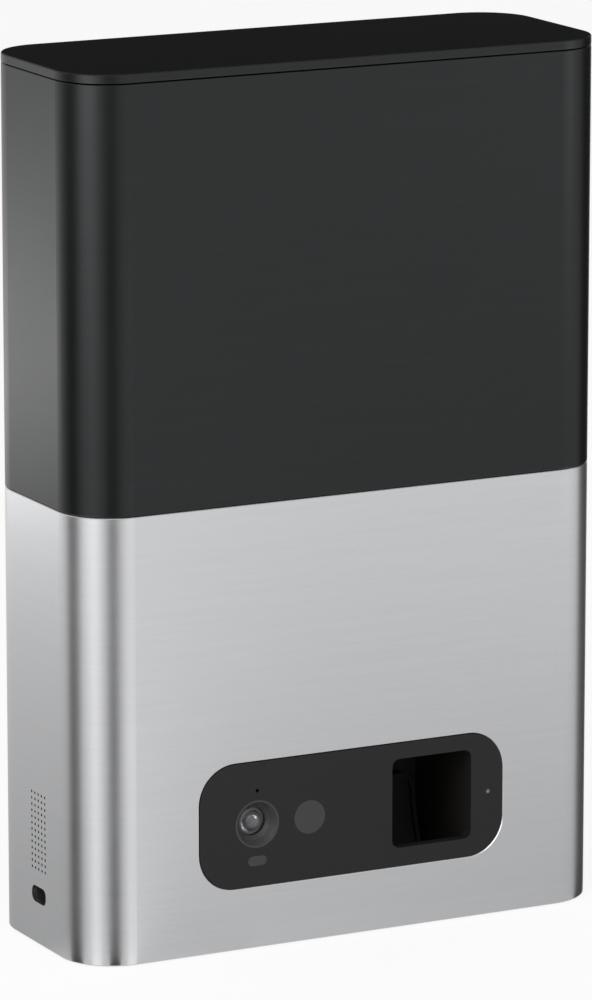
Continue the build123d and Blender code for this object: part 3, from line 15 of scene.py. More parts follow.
import bmesh
import bpy
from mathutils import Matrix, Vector


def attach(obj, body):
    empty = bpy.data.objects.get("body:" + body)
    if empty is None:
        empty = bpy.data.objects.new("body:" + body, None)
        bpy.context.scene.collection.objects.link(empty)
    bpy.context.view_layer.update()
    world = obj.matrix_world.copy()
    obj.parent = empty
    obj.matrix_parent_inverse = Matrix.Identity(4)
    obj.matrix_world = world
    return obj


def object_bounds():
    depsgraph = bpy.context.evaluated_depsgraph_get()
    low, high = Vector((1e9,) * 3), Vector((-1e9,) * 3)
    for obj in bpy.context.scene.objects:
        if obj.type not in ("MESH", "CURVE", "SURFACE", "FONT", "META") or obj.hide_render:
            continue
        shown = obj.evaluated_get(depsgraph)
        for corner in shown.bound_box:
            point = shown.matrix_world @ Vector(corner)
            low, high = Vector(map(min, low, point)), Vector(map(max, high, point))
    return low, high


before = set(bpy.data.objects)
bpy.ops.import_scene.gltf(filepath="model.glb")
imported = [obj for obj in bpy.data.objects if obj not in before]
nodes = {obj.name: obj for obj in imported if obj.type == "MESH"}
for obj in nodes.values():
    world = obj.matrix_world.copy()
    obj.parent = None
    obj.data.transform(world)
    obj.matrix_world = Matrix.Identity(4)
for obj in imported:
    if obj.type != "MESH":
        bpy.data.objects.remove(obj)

solid_box = [[float(v) for v in corner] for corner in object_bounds()]
print(len(nodes), "parts, box in metres", solid_box)

# %% [markdown]
# ## The camera
#
# A tall product is usually shot from far away with a long lens, so that its uprights stay upright. This
# camera stands nearly two metres off, to the left of the front and about twice as high as the lid, and
# looks slightly down. Placing it by an azimuth, a distance and a height is easier to reason about than
# three raw coordinates and a rotation.

# %% Place the camera
azimuth, pitch = radians(27.28), radians(12.46)
distance, aside, height = 1.889, -0.00082, 0.5466
lens_mm = 228.14

camera = bpy.data.objects.new("camera", bpy.data.cameras.new("camera"))
bpy.context.collection.objects.link(camera)
camera.location = (-distance * sin(azimuth) + aside * cos(azimuth),
                   -distance * cos(azimuth) - aside * sin(azimuth), height)
looks = Vector((sin(azimuth) * cos(pitch), cos(azimuth) * cos(pitch), -sin(pitch)))
camera.rotation_euler = looks.to_track_quat("-Z", "Y").to_euler()
camera.data.sensor_width, camera.data.lens = 36.0, lens_mm
camera.data.clip_start, camera.data.clip_end = 0.01, 100
bpy.context.scene.camera = camera
print("camera at", [round(v, 3) for v in camera.location], "lens", lens_mm)

# %% [markdown]
# ## Shader maths as plain Python
#
# A material is a graph of nodes, and building one by hand means naming two sockets for every link. A
# small class that wraps one socket lets `1 - mask * 0.3` be written as it reads: each operator adds the
# node that works it out. Numbers go through Math nodes, vectors through Vector Math and colours through
# Mix, because a Math node would turn a colour grey. Every other kind of node comes from one method.

# %% A socket that can be added, scaled and mixed
class Wire:
    """One output socket of a shader tree, or only the tree, ready to grow more nodes."""

    def __init__(self, tree, socket=None):
        self.tree, self.socket = tree, socket

    def node(self, kind, settings=None, inputs=None, output=None):
        """Adds a node: its settings first, then socket values or links; returns one output."""
        made = self.tree.nodes.new(kind)
        for name, value in (settings or {}).items():
            setattr(made, name, value)
        for name, value in (inputs or {}).items():
            socket = made.inputs[name] if isinstance(name, int) else next(
                s for s in made.inputs if s.enabled and s.name == name)
            if isinstance(value, Wire):
                self.tree.links.new(value.socket, socket)
            else:
                socket.default_value = value
        shown = [s for s in made.outputs if s.enabled]
        if shown:
            return Wire(self.tree, next((s for s in shown if s.name == output), shown[0]))

    def combine(self, word, other, swapped=False):
        """The node for one operator, chosen by what kind of socket it works on."""
        kinds = {self.socket.type} | ({other.socket.type} if isinstance(other, Wire) else set())
        first, second = (other, self) if swapped else (self, other)
        if kinds == {"VALUE"} and not hasattr(other, "__len__"):
            return self.node("ShaderNodeMath", {"operation": word}, {0: first, 1: second})
        wide = lambda v: v if isinstance(v, Wire) or hasattr(v, "__len__") else (v, v, v)
        if "RGBA" in kinds:
            colour = lambda v: v if isinstance(v, Wire) else (*wide(v)[:3], 1)
            return self.node("ShaderNodeMix", {"data_type": "RGBA", "blend_type": word},
                             {"Factor": 1.0, "A": colour(first), "B": colour(second)})
        return self.node("ShaderNodeVectorMath", {"operation": word}, {0: wide(first), 1: wide(second)})

    def __add__(self, other): return self.combine("ADD", other)
    def __radd__(self, other): return self.combine("ADD", other, True)
    def __sub__(self, other): return self.combine("SUBTRACT", other)
    def __rsub__(self, other): return self.combine("SUBTRACT", other, True)
    def __mul__(self, other): return self.combine("MULTIPLY", other)
    def __rmul__(self, other): return self.combine("MULTIPLY", other, True)

    def between(self, low, high):
        """This value moved from low..high to 0..1, and held there."""
        return self.node("ShaderNodeMapRange", {"clamp": True},
                         {"Value": self, "From Min": low, "From Max": high}, "Result")

    def mix(self, first, second):
        """From the first colour to the second as this value goes from 0 to 1."""
        colour = lambda v: v if isinstance(v, Wire) else (*v[:3], 1)
        return self.node("ShaderNodeMix", {"data_type": "RGBA"},
                         {"Factor": self, "A": colour(first), "B": colour(second)})

print("one class, six operators")

# %% [markdown]
# ## A stage that looks like nothing
#
# A catalogue shot wants a white surround, but pouring light on until the floor turns white would bleach
# the object too. So the floor is pale and lit at a plain level, and only for the rays that come from the
# lens, a reflection or a piece of glass is it mixed with pure white. The contact shadow stays, because
# part of what those rays see is still the lit floor. The world does the same without the shadow.

# %% Rays that see the background
def ray(start, kind):
    """1 for one kind of ray, such as Camera or Glossy, otherwise 0."""
    return start.node("ShaderNodeLightPath", output="Is " + kind + " Ray")


def background_rays(start):
    """1 for rays from the camera, from gloss and through glass, otherwise 0."""
    return (ray(start, "Camera") + ray(start, "Glossy") + ray(start, "Transmission")).between(0, 1)


def empty_finish(name):
    """A material with nothing in it yet, and the wire to grow it from."""
    made = bpy.data.materials.new(name)
    made.use_nodes = True
    made.node_tree.nodes.clear()
    return made, Wire(made.node_tree)


def mesh_piece(name, mesh_data, material):
    """Wraps bmesh data in an object with one finish."""
    mesh = bpy.data.meshes.new(name)
    mesh_data.to_mesh(mesh)
    mesh_data.free()
    mesh.materials.append(material)
    made = bpy.data.objects.new(name, mesh)
    bpy.context.collection.objects.link(made)
    return made

print("helpers ready")

# %% [markdown]
# An object blocks part of the light round its own foot, so the floor that its walls reflect grows darker
# towards them, most of all behind it. The distance from the foot's outline gives that falloff: the
# object's half-size is taken off the position, and what is left over is measured. In front, a little is
# added towards either end, where the soft boxes reach least.

# %% How dark the floor looks round the foot
falloff = 0.7
loss_behind, loss_in_front, more_on_the_right, more_on_the_left = 0.5, 0.14, 0.20, 0.12


def foot_shade(start):
    """The floor's loss of light in reflections: 0 far away, more towards the foot and behind it."""
    spot = start.node("ShaderNodeTexCoord", output="Object")
    half = (solid_box[1][0], solid_box[1][1], 1.0)
    beyond = spot.node("ShaderNodeVectorMath", {"operation": "ABSOLUTE"}, {0: spot}) - half
    beyond = spot.node("ShaderNodeVectorMath", {"operation": "MAXIMUM"}, {0: beyond, 1: (0, 0, 0)})
    away = spot.node("ShaderNodeVectorMath", {"operation": "LENGTH"}, {0: beyond}, "Value")
    split = lambda axis: spot.node("ShaderNodeSeparateXYZ", inputs={0: spot}, output=axis)
    behind = split("Y").between(-0.03, 0.0)
    right, left = split("X").between(-0.07, 0.10), split("X").between(-0.09, -0.13)
    front = right * more_on_the_right + left * more_on_the_left + loss_in_front
    return (1 - away.between(0, falloff)) * (behind * loss_behind + (1 - behind) * front)

print("falloff reaches", falloff, "m")

# %% The floor and the world
def grey(level):
    """An opaque grey for a colour socket."""
    return (level, level, level, 1)


pale, share_of_white, half_width = 0.92, 0.85, 12
room_light, room_seen = 0.62, 0.94

floor_finish, start = empty_finish("pale floor")
lit = start.node("ShaderNodeBsdfDiffuse", inputs={"Color": grey(pale)})
shade = 1 - foot_shade(start) * ray(start, "Glossy")
white = start.node("ShaderNodeEmission", inputs={"Color": grey(1), "Strength": shade})
start.node("ShaderNodeOutputMaterial", inputs={"Surface": start.node(
    "ShaderNodeMixShader", inputs={0: background_rays(start) * share_of_white, 1: lit, 2: white})})

sheet = bmesh.new()
bmesh.ops.create_grid(sheet, x_segments=1, y_segments=1, size=half_width)
floor = mesh_piece("floor", sheet, floor_finish)

world = bpy.data.worlds.new("soft room")
bpy.context.scene.world = world
world.use_nodes = True
world.node_tree.nodes.clear()
start = Wire(world.node_tree)
room = background_rays(start).mix(grey(room_light), grey(room_seen))
start.node("ShaderNodeOutputWorld", inputs={"Surface": start.node(
    "ShaderNodeBackground", inputs={"Color": room, "Strength": 1.0})})
print("floor half-width", half_width, "m")

# %% [markdown]
# ## Soft boxes and a glint
#
# Satin metal has no colour of its own to show: it shows the room. Two soft boxes stand left and right of
# the front and one hangs overhead, at plain levels. Another lies on the floor behind the left side and
# shines straight up. The left side reflects that piece of floor, so it is brightest just under the seam
# and fades towards the foot.
#
# One more lamp is small and strong, and is there only for the spark in the lens. On the sleeve it would
# draw a hard white line along the panel's edge, so light linking gives it one receiver, the lens dome.

# %% Lamps
bpy.context.scene.view_settings.view_transform = "Standard"


def towards(angle, length=1.0):
    """A step on the floor in a direction counted in degrees from the front towards the left side."""
    return Vector((-sin(radians(angle)) * length, -cos(radians(angle)) * length, 0))


def soft_box(name, angle, far, middle, size, watts, faces=(0, 0, 0.12)):
    """An area lamp at a direction and distance, facing a point, unseen by the camera itself."""
    lamp = bpy.data.lights.new(name, "AREA")
    lamp.shape, lamp.size, lamp.size_y, lamp.energy = "RECTANGLE", size[0], size[1], watts
    made = bpy.data.objects.new(name, lamp)
    bpy.context.collection.objects.link(made)
    made.location = towards(angle, far) + Vector((0, 0, middle))
    made.rotation_euler = (Vector(faces) - made.location).to_track_quat("-Z", "Y").to_euler()
    made.visible_camera = False
    return made


soft_box("left front", 66, 1.0, 0.42, (0.60, 0.75), 3.6)
soft_box("right front", -49, 1.15, 0.42, (0.20, 0.75), 1.5)
soft_box("overhead", 40, 1.3, 1.6, (1.2, 1.2), 9)

glint = soft_box("glint in the lens", -50, 0.62, 0.49, (0.44, 0.56), 8.5, (-0.0315, -0.032, 0.039))
only_the_lens = bpy.data.collections.new("what the glint lights")
only_the_lens.objects.link(nodes["lens_dome"])
glint.light_linking.receiver_collection = only_the_lens

behind_left = 153
on_the_floor = soft_box("left back, on the floor", behind_left, 1.0, 0.004, (0.52, 0.56), 1.75)
on_the_floor.rotation_euler = (pi, 0, radians(-behind_left))
print("five lamps")

# %% [markdown]
# ## Dark, dim and bright cards
#
# In an all-white room a rounded corner disappears, so a studio lays cards on the floor: dark ones for
# the bands that draw the corner, bright ones for the lights between the bands. Seen from a little
# above, an upright wall reflects the floor near its foot and whatever stands further off near its top,
# so on the right, where the edge has to stay dark up to the lid, an upright card stands further out.
#
# The direction that a wall reflects turns twice as fast as the wall does. So each card is drawn from
# the corner outwards along the reflections themselves, between two angles of the rounded wall. Only
# reflections see the cards, and they leave no shadow.

# %% Cards that only reflections see
def card_finish(name, level):
    """A surface that shows one even level of light."""
    made, start = empty_finish(name)
    start.node("ShaderNodeOutputMaterial", inputs={"Surface": start.node(
        "ShaderNodeEmission", inputs={"Color": grey(1), "Strength": level})})
    return made


dark = card_finish("dark card", 0.035)
dim = card_finish("dim card", 0.06)
bright = card_finish("bright card", 1.35)
corner_radius = 0.017
corner_middle = (0.072, -0.017)
just_above_the_floor = 0.0003


def only_in_reflections(card):
    """Marks a card as part of the stage that nothing but gloss can see."""
    for kind in ("camera", "diffuse", "transmission", "shadow"):
        setattr(card, "visible_" + kind, False)
    return card


def reflection_card(name, side, first, last, reach, material):
    """A card under the reflections of a front corner's wall, from one wall angle to another."""
    steps = 10
    centre = Vector((side * corner_middle[0], corner_middle[1], just_above_the_floor))
    to_camera = (camera.location - centre).to_2d()
    seen_from = Vector((0, -1)).angle_signed(to_camera) * 180 / pi
    card = bmesh.new()
    near, far = [], []
    for k in range(steps + 1):
        wall = first + (last - first) * k / steps
        start_at = centre + towards(wall, corner_radius + 0.0005)
        near.append(card.verts.new(start_at))
        far.append(card.verts.new(start_at + towards(2 * wall - seen_from, reach)))
    for k in range(steps):
        card.faces.new((near[k], near[k + 1], far[k + 1], far[k]))
    print(name, "seen from", round(seen_from, 1), "degrees")
    return only_in_reflections(mesh_piece(name, card, material))


reflection_card("dark near the front", -1, 17.5, 28.5, 4, dark)
reflection_card("dark near the side", -1, 58, 73, 4, dark)
reflection_card("dim on the right", 1, -28, -52, 2, dim)
reflection_card("bright beside the front", -1, 1, 10, 2, bright)
reflection_card("bright between the bands", -1, 37, 47, 2, bright)

# %% An upright dim card far out on the right
def upright_card(name, first, last, far, tall):
    """A dim wall on an arc round the object, between two directions."""
    steps = 6
    card = bmesh.new()
    low = [card.verts.new(towards(first + (last - first) * k / steps, far)) for k in range(steps + 1)]
    high = [card.verts.new(v.co + Vector((0, 0, tall))) for v in low]
    for k in range(steps):
        card.faces.new((low[k], low[k + 1], high[k + 1], high[k]))
    return only_in_reflections(mesh_piece(name, card, dim))


upright_card("dim wall on the right", -80, -127, 1.45, 1.2)
print("one wall")

# %% [markdown]
# ## Words that every finish uses
#
# Most finishes are the same few ideas at different sizes: a place on the object in millimetres, a noise
# of a given grain, a bump of a given depth and a mask that is bright only near edges. With these as
# small functions, each finish reads as a list of what its real surface shows.

# %% Building blocks
def place(start):
    """Where a point is on the object, in millimetres."""
    return start.node("ShaderNodeTexCoord", output="Object") * 1000


def noise(start, where, size, detail=2.0, roughness=0.5):
    """Cloudy noise whose grain is about size millimetres; size may be one number or three."""
    size = size if hasattr(size, "__len__") else (size,) * 3
    return start.node("ShaderNodeTexNoise", inputs={
        "Vector": where * tuple(1 / s for s in size), "Scale": 1.0,
        "Detail": detail, "Roughness": roughness})


def bump(start, height, depth, strength):
    """Turns a 0..1 height into a normal, depth millimetres deep."""
    return start.node("ShaderNodeBump", inputs={
        "Strength": strength, "Distance": depth / 1000, "Height": height})


def edges(start, radius):
    """A mask that is 1 on edges sharper than radius millimetres."""
    soft = start.node("ShaderNodeBevel", {"samples": 4}, {"Radius": radius / 1000})
    true = start.node("ShaderNodeNewGeometry", output="Normal")
    same = start.node("ShaderNodeVectorMath", {"operation": "DOT_PRODUCT"}, {0: soft, 1: true}, "Value")
    return (1 - same).between(0.03, 0.25)


def finish(name, same_all_over, recipe, over=None):
    """A Principled finish: constants on its sockets, and what varies from recipe(start).

    over is (where, constants, recipe) of a second finish, which lies on the first where its mask is 1.
    """
    made, start = empty_finish(name)
    skin = start.node("ShaderNodeBsdfPrincipled", inputs={**same_all_over, **recipe(start)})
    if over:
        where, constants, second = over
        top = start.node("ShaderNodeBsdfPrincipled", inputs={**constants, **second(start)})
        skin = start.node("ShaderNodeMixShader", inputs={0: where(start), 1: skin, 2: top})
    start.node("ShaderNodeOutputMaterial", inputs={"Surface": skin})
    return made


finishes = {}
print("building blocks ready")

# %% [markdown]
# ## Brushed and anodised aluminium
#
# Each sleeve is an extruded tube that is brushed round its walls and then anodised. The brushing leaves
# hairlines a fraction of a millimetre wide and centimetres long, so a noise is squeezed hard in height
# and stretched along the wall. It drives a very shallow bump, a little roughness and a trace of colour.
# Where a cut edge was machined after brushing, the metal is brighter. The lid is the same metal on its
# rim, but its flat top is painted darker and matt, with little gloss left at a low angle: painted shade
# that keeps the top dark, so a second finish lies over the first wherever the surface faces up.

# %% The two sleeves and the lid
def brushed(tone, edge_tone, rough, grain, contrast, wear):
    """Hairlines of the given grain in a tone, with brighter machined edges."""
    def recipe(start):
        where = place(start)
        fine = noise(start, where, grain, 3.0, 0.6)
        broad = noise(start, where, tuple(g * 6 for g in grain))
        cloud = noise(start, where, 45, 3.0)
        streaks = (fine.between(0.3, 0.7) - 0.5) * contrast
        streaks = streaks + (broad.between(0.3, 0.7) - 0.5) * (contrast * 0.6)
        return {
            "Base Color": (edges(start, 0.45) * wear).mix((streaks + 1.0) * tone, edge_tone),
            "Roughness": (fine - 0.5) * 0.10 + (cloud - 0.5) * 0.06 + rough,
            "Normal": bump(start, fine * 0.7 + broad * 0.3, 0.008, 0.25),
        }
    return recipe


def facing_up(start):
    """1 where the surface faces the ceiling, 0 on upright walls."""
    normal = start.node("ShaderNodeNewGeometry", output="Normal")
    return start.node("ShaderNodeSeparateXYZ", inputs={0: normal}, output="Z").between(0.55, 0.9)


round_the_walls, along_the_lid = (9, 9, 0.17), (9, 0.17, 0.17)
metal = {"Metallic": 1.0, "Anisotropic": 0.35}
# painted shade: the lid's top gets less gloss than its rim
shaded_top_constants = {"Metallic": 0.4, "Specular IOR Level": 0.0, "Specular Tint": grey(0.06)}
finishes["silver_anodised"] = finish("silver anodised aluminium", metal, brushed(
    (0.574, 0.578, 0.588), (0.64, 0.64, 0.65), 0.30, round_the_walls, 0.045, 0.4))
black_skin = brushed((0.0310, 0.0322, 0.0328), (0.08, 0.08, 0.08), 0.32, round_the_walls, 0.08, 0.4)
# painted shade: the lid's top is brushed in a darker tone than its rim
shaded_top_skin = brushed((0.0115, 0.0117, 0.0121), (0.03, 0.03, 0.03), 0.36, along_the_lid, 0.3, 0.3)
finishes["black_anodised"] = finish("black anodised aluminium", metal, black_skin)
finishes["lid_black"] = finish("black anodised lid, painted shade on top", metal, black_skin,
                               over=(facing_up, shaded_top_constants, shaded_top_skin))
print(list(finishes))

# %% [markdown]
# ## The dark front panel and other plastics
#
# The panel is injection moulded in black and left between satin and gloss, so its colour is nearly
# nothing and most of what is seen is a weak, slightly uneven reflection. Hidden structural parts come
# out of a tool whose steel was eroded by sparks, which prints fine pits. One recipe covers both: only
# the tone, the gloss and the pits' size and depth differ. Round the lens, the pits give way to the fine
# rings that a lathe leaves.

# %% Moulded plastics
def moulded(tone, rough, pit, depth, edge_gain=1.6, wear=0.35, steps=None):
    """Plastic with pits (or other steps) of a depth, uneven gloss and slightly paler edges."""
    def recipe(start):
        where = place(start)
        pits = noise(start, where, pit, 3.0, 0.65) if steps is None else steps(where)
        cloud = noise(start, where, 18, 3.0)
        specks = noise(start, where, pit * 7, 4.0, 0.7)
        pale = tuple(min(1.0, c * edge_gain + 0.004) for c in tone)
        return {
            "Base Color": (edges(start, 0.35) * wear).mix(((specks - 0.5) * 0.16 + 1.0) * tone, pale),
            "Roughness": (cloud - 0.5) * 0.12 + (pits - 0.5) * 0.05 + rough,
            "Normal": bump(start, pits, depth, 0.5),
        }
    return recipe


def plastic(name, *args, level=0.5, **more):
    """A moulded finish with a level of gloss."""
    return finish(name, {"Specular IOR Level": level}, moulded(*args, **more))


finishes["panel_black"] = plastic(
    "satin gloss panel", (0.0135, 0.0135, 0.014), 0.36, 0.5, 0.002, level=0.22, edge_gain=2.5)
lens_spot = (-31.5, 0, 39.0)
ring_pitch = 0.55


def turning_rings(where):
    """Fine rings round the lens, as a lathe leaves them."""
    across = (where - lens_spot) * (1, 0, 1)
    radius = across.node("ShaderNodeVectorMath", {"operation": "LENGTH"}, {0: across}, "Value")
    wave = radius.node("ShaderNodeMath", {"operation": "SINE"}, {0: radius * (2 * pi / ring_pitch)})
    return wave * 0.5 + 0.5


finishes["bezel_black"] = plastic(
    "turned bezel", (0.044, 0.044, 0.045), 0.38, 0.35, 0.06, level=0.3, wear=0.1, steps=turning_rings)
for slot, name, tone, rough, pit, depth, level in (
        ("smoked_window", "smoked window", (0.048, 0.048, 0.050), 0.28, 0.8, 0.001, 0.2),
        ("black_plastic", "pitted black plastic", (0.022, 0.022, 0.023), 0.55, 0.28, 0.02, 0.35),
        # painted shade: a darker, less glossy copy of the pitted black plastic for the launch arm deep in
        # the chute
        ("thrower_painted_shade", "thrower plastic with painted shade", (0.012, 0.012, 0.0125), 0.5, 0.3, 0.012, 0.2),
        ("chute_plastic", "chute plastic", (0.014, 0.013, 0.010), 0.48, 0.3, 0.012, 0.25),
        ("bin_plastic", "grey bin plastic", (0.13, 0.13, 0.135), 0.38, 0.45, 0.006, 0.5),
        ("chip_black", "moulded chip", (0.030, 0.030, 0.032), 0.5, 0.12, 0.008, 0.4)):
    finishes[slot] = plastic(name, tone, rough, pit, depth, level=level)
print(len(finishes), "finishes")

# %% [markdown]
# ## White gears, rubber and silicone
#
# Gears and the treat wheel are low-friction white plastic, which lets a little light in before it comes
# back, so a small subsurface share keeps them from looking like paint. Rubber is matt and picks up dust;
# silicone is smoother and greyer. All three get a faint uneven tone, because perfectly even parts look
# like placeholders.

# %% Soft and slippery plastics
def soft_touch(tone, dusty, rough, grain, depth):
    """Matt material with fine grain and a little dust where nothing rubs it off."""
    def recipe(start):
        where = place(start)
        skin = noise(start, where, grain, 4.0, 0.6)
        dust = noise(start, where, 9, 5.0, 0.65).between(0.5, 0.75)
        return {
            "Base Color": (dust * 0.5).mix(((skin - 0.5) * 0.2 + 1.0) * tone, dusty),
            "Roughness": (dust - 0.5) * 0.08 + (skin - 0.5) * 0.08 + rough,
            "Normal": bump(start, skin, depth, 0.6),
        }
    return recipe


finishes["acetal_white"] = finish("slippery white plastic", {
    "Subsurface Weight": 0.12, "Subsurface Scale": 0.002, "Subsurface Radius": (1.0, 0.9, 0.8)},
    soft_touch((0.76, 0.75, 0.71), (0.70, 0.68, 0.62), 0.38, 0.8, 0.004))
finishes["rubber_black"] = finish("black rubber", {"Specular IOR Level": 0.3}, soft_touch(
    (0.022, 0.022, 0.022), (0.05, 0.049, 0.047), 0.78, 0.35, 0.03))
finishes["silicone_grey"] = finish("grey silicone", {
    "Specular IOR Level": 0.45, "Subsurface Weight": 0.08, "Subsurface Scale": 0.0015},
    soft_touch((0.25, 0.25, 0.26), (0.30, 0.30, 0.30), 0.5, 0.5, 0.006))
print(len(finishes), "finishes")

# %% [markdown]
# ## Steel, screws, motor cans and brass
#
# Bare metals differ mainly in how they were worked. Sheet steel is rolled, so it has long faint lines;
# a plated screw is smooth with tiny dents; a drawn motor can is nearly mirror smooth with a hint of
# grain; turned brass has rings. Stretching one noise differently gives the rolled, the drawn and the
# turned look, and the screws take it unstretched. Faint tarnish and a few scratches lie over all four.

# %% Worked metals
def worked(tone, rough, grain, depth, tarnish=0.12):
    """Metal with worked lines, faint tarnish clouds and sparse scratches."""
    def recipe(start):
        where = place(start)
        lines = noise(start, where, grain, 3.0, 0.6)
        cloud = noise(start, where, 6, 4.0, 0.6).between(0.35, 0.7)
        marks = noise(start, where, (0.3, 7, 2), 2.0).between(0.66, 0.70)
        dull = tuple(c * 0.62 for c in tone)
        return {
            "Base Color": (cloud * tarnish + marks * 0.1).mix(((lines - 0.5) * 0.12 + 1.0) * tone, dull),
            "Roughness": (lines - 0.5) * 0.12 + cloud * 0.08 + marks * 0.075 + rough,
            "Normal": bump(start, lines, depth, 0.4),
        }
    return recipe


bare = {"Metallic": 1.0}
for slot, name, recipe in (
        ("steel", "rolled steel", worked((0.58, 0.58, 0.59), 0.32, (14, 3, 0.3), 0.004)),
        ("screw_steel", "plated screw steel", worked((0.60, 0.60, 0.61), 0.24, 0.5, 0.004)),
        ("motor_steel", "drawn motor can", worked((0.56, 0.56, 0.56), 0.22, (9, 0.4, 0.4), 0.003)),
        ("brass", "turned brass", worked((0.74, 0.55, 0.27), 0.26, (0.2, 0.9, 0.9), 0.004, 0.25))):
    finishes[slot] = finish(name, bare, recipe)
print(len(finishes), "finishes")

# %% [markdown]
# ## Circuit boards
#
# A board is glass fibre under copper under green lacquer. Where a track runs, the lacquer stands a
# little proud and looks lighter; between tracks it is darker and slightly see-through. A Brick texture
# laid on the board gives straight tracks that turn at right angles, and Voronoi cells give the small
# round plated holes.

# %% Green lacquer over tracks
def lacquered_board(start):
    """Tracks, plated holes and fibre weave under green lacquer."""
    where = place(start)
    flat = where.node("ShaderNodeMapping", {"vector_type": "POINT"}, {
        "Vector": where, "Rotation": (radians(90), 0, 0)})
    tracks = start.node("ShaderNodeTexBrick", {"offset": 0.37, "squash": 1.7, "squash_frequency": 3}, {
        "Vector": flat, "Color1": (0, 0, 0, 1), "Color2": (0.2, 0.2, 0.2, 1), "Mortar": (1, 1, 1, 1),
        "Scale": 1.0, "Mortar Size": 0.16, "Mortar Smooth": 0.3, "Brick Width": 4.6, "Row Height": 1.3},
        "Fac")
    holes = start.node("ShaderNodeTexVoronoi", {"feature": "F1"},
                       {"Vector": where, "Scale": 0.33}, "Distance")
    ring = holes.between(0.16, 0.13)
    hole = holes.between(0.08, 0.07)
    weave = noise(start, where, (0.3, 2.5, 0.3), 2.0)
    between_tracks, on_a_track = (0.012, 0.075, 0.040), (0.03, 0.16, 0.075)
    green = (tracks * 0.85).mix(((weave - 0.5) * 0.3 + 1.0) * between_tracks, on_a_track)
    return {
        "Base Color": hole.mix(ring.mix(green, (0.62, 0.58, 0.42)), (0.01, 0.01, 0.01)),
        "Roughness": (weave - 0.5) * 0.1 + ring * 0.1 + 0.3,
        "Metallic": ring * (1 - hole),
        "Normal": bump(start, tracks * 0.7 + ring * 0.3, 0.03, 0.7),
    }


finishes["board_green"] = finish("green circuit board", {"Specular IOR Level": 0.5}, lacquered_board)
print(len(finishes), "finishes")

# %% [markdown]
# ## Glass and clear resin
#
# The lens is a small dome of hard clear resin over a stack of darker lens parts. It is slightly grey and
# not quite clear, which spreads its spark a little, and what makes it read as a lens is what lies behind
# it, so the stack is modelled as well. Light-emitting parts sit in cast resin that is never quite clean,
# so its roughness varies too.

# %% Clear parts
def clean_glass(start):
    """Slightly grey, and a little uneven where it was wiped."""
    smear = noise(start, place(start), 2.2, 4.0, 0.6)
    return {"Base Color": (smear.between(0.3, 0.7) * 0.5).mix((0.29, 0.29, 0.30), (0.24, 0.24, 0.26)),
            "Roughness": smear.between(0.45, 0.8) * 0.05 + 0.11}


def cast_resin(start):
    """Almost clear, with the flow marks of casting."""
    where = place(start)
    flow = noise(start, where, 1.1, 3.0)
    return {"Base Color": flow.between(0.3, 0.7).mix((0.86, 0.87, 0.90), (0.78, 0.79, 0.83)),
            "Roughness": (flow - 0.5) * 0.12 + 0.14,
            "Normal": bump(start, noise(start, where, 0.4, 2.0), 0.004, 0.5)}


finishes["lens_glass"] = finish("lens glass", {"Transmission Weight": 0.78, "IOR": 1.49}, clean_glass)
finishes["clear_resin"] = finish("clear resin", {"Transmission Weight": 0.85, "IOR": 1.5}, cast_resin)
print(len(finishes), "finishes")

# %% [markdown]
# ## Dress the solid parts
#
# Each part arrives with one material slot named for its finish. Swapping the material in that slot is
# all it takes: the mesh and its place stay as they came.

# %% Hand out the finishes
# the launch arm takes the darker copy of the black plastic, painted shade for its place deep in the chute
special = {"lid_plate": "lid_black", "launch_arm": "thrower_painted_shade"}
for part, thing in nodes.items():
    for spot in thing.material_slots:
        wanted = special.get(part, spot.material.name.split(".")[0])
        spot.material = finishes[wanted]
print("dressed", len(nodes), "parts in", len(finishes), "finishes")

# %% [markdown]
# ## The lens stack behind the dome
#
# Looking into a small camera, you see rings that step inwards to a tiny front glass. They are all turned
# parts with one axis, so a short list of radius and depth pairs spun round that axis makes each of them.
# The list is easier to read and to change than a stack of separate cylinders would be.

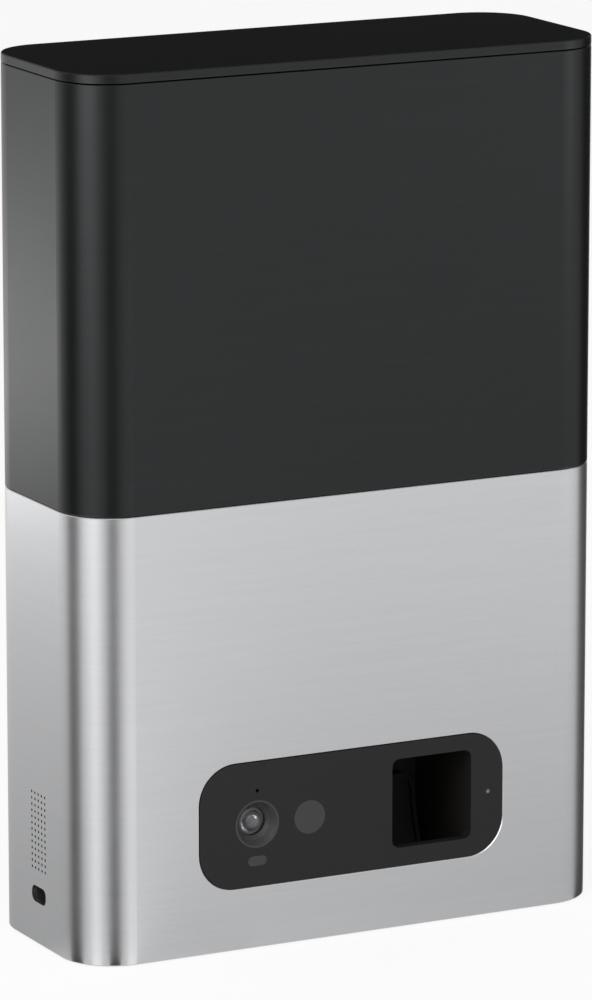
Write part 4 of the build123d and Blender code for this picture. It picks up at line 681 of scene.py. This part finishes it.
# %% Spin a profile round the lens axis
def spun(name, profile, material):
    """A turned piece on the lens axis from a closed profile of (radius, y) pairs in millimetres."""
    sides = 48
    mesh = bmesh.new()
    rings = []
    for radius, y in profile:
        rings.append([mesh.verts.new(((lens_spot[0] + radius * cos(2 * pi * k / sides)) / 1000, y / 1000,
                                      (lens_spot[2] + radius * sin(2 * pi * k / sides)) / 1000))
                      for k in range(sides)])
    for ring, after in zip(rings, rings[1:] + rings[:1]):
        for k in range(sides):
            mesh.faces.new((ring[k], ring[(k + 1) % sides], after[(k + 1) % sides], after[k]))
    bmesh.ops.recalc_face_normals(mesh, faces=mesh.faces)
    made = mesh_piece(name, mesh, material)
    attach(made, "housing")
    print(name, len(made.data.polygons), "faces")
    return made


retainer = plastic("lens retainer", (0.16, 0.16, 0.165), 0.35, 0.3, 0.004)
steps_inwards = [(3.05, -27.95), (2.75, -27.95), (2.55, -27.5), (2.3, -27.5),
                 (2.1, -27.0), (1.75, -27.0), (1.75, -25.2), (3.05, -25.2)]
spun("lens_retainer", steps_inwards, retainer)

# %% The small front glass, a shallow cap on a thin edge
glass_radius, rim_y, back_y, rise, rim_angle = 1.72, -26.6, -25.6, 0.75, 50


def cap_point(angle):
    """Radius and y of the cap at an angle from its axis; it is rise tall at the middle."""
    level = (cos(radians(angle)) - cos(radians(rim_angle))) / (1 - cos(radians(rim_angle)))
    return glass_radius * sin(radians(angle)) / sin(radians(rim_angle)), rim_y - rise * level


def coating(start):
    """A bluish tint that differs a little from place to place, as thin coatings do."""
    tint = noise(start, place(start), 0.8).between(0.3, 0.7)
    return {"Base Color": tint.mix((0.05, 0.06, 0.09), (0.08, 0.09, 0.12)),
            "Roughness": noise(start, place(start), 0.5) * 0.04 + 0.03}


coated = finish("coated front glass", {
    "Transmission Weight": 0.4, "IOR": 1.6, "Thin Film Thickness": 320.0, "Thin Film IOR": 1.38}, coating)
cap = [cap_point(angle) for angle in (rim_angle, 42, 34, 26, 18, 10, 3)]
spun("front_glass", cap + [(0.09, back_y), (glass_radius, back_y)], coated)
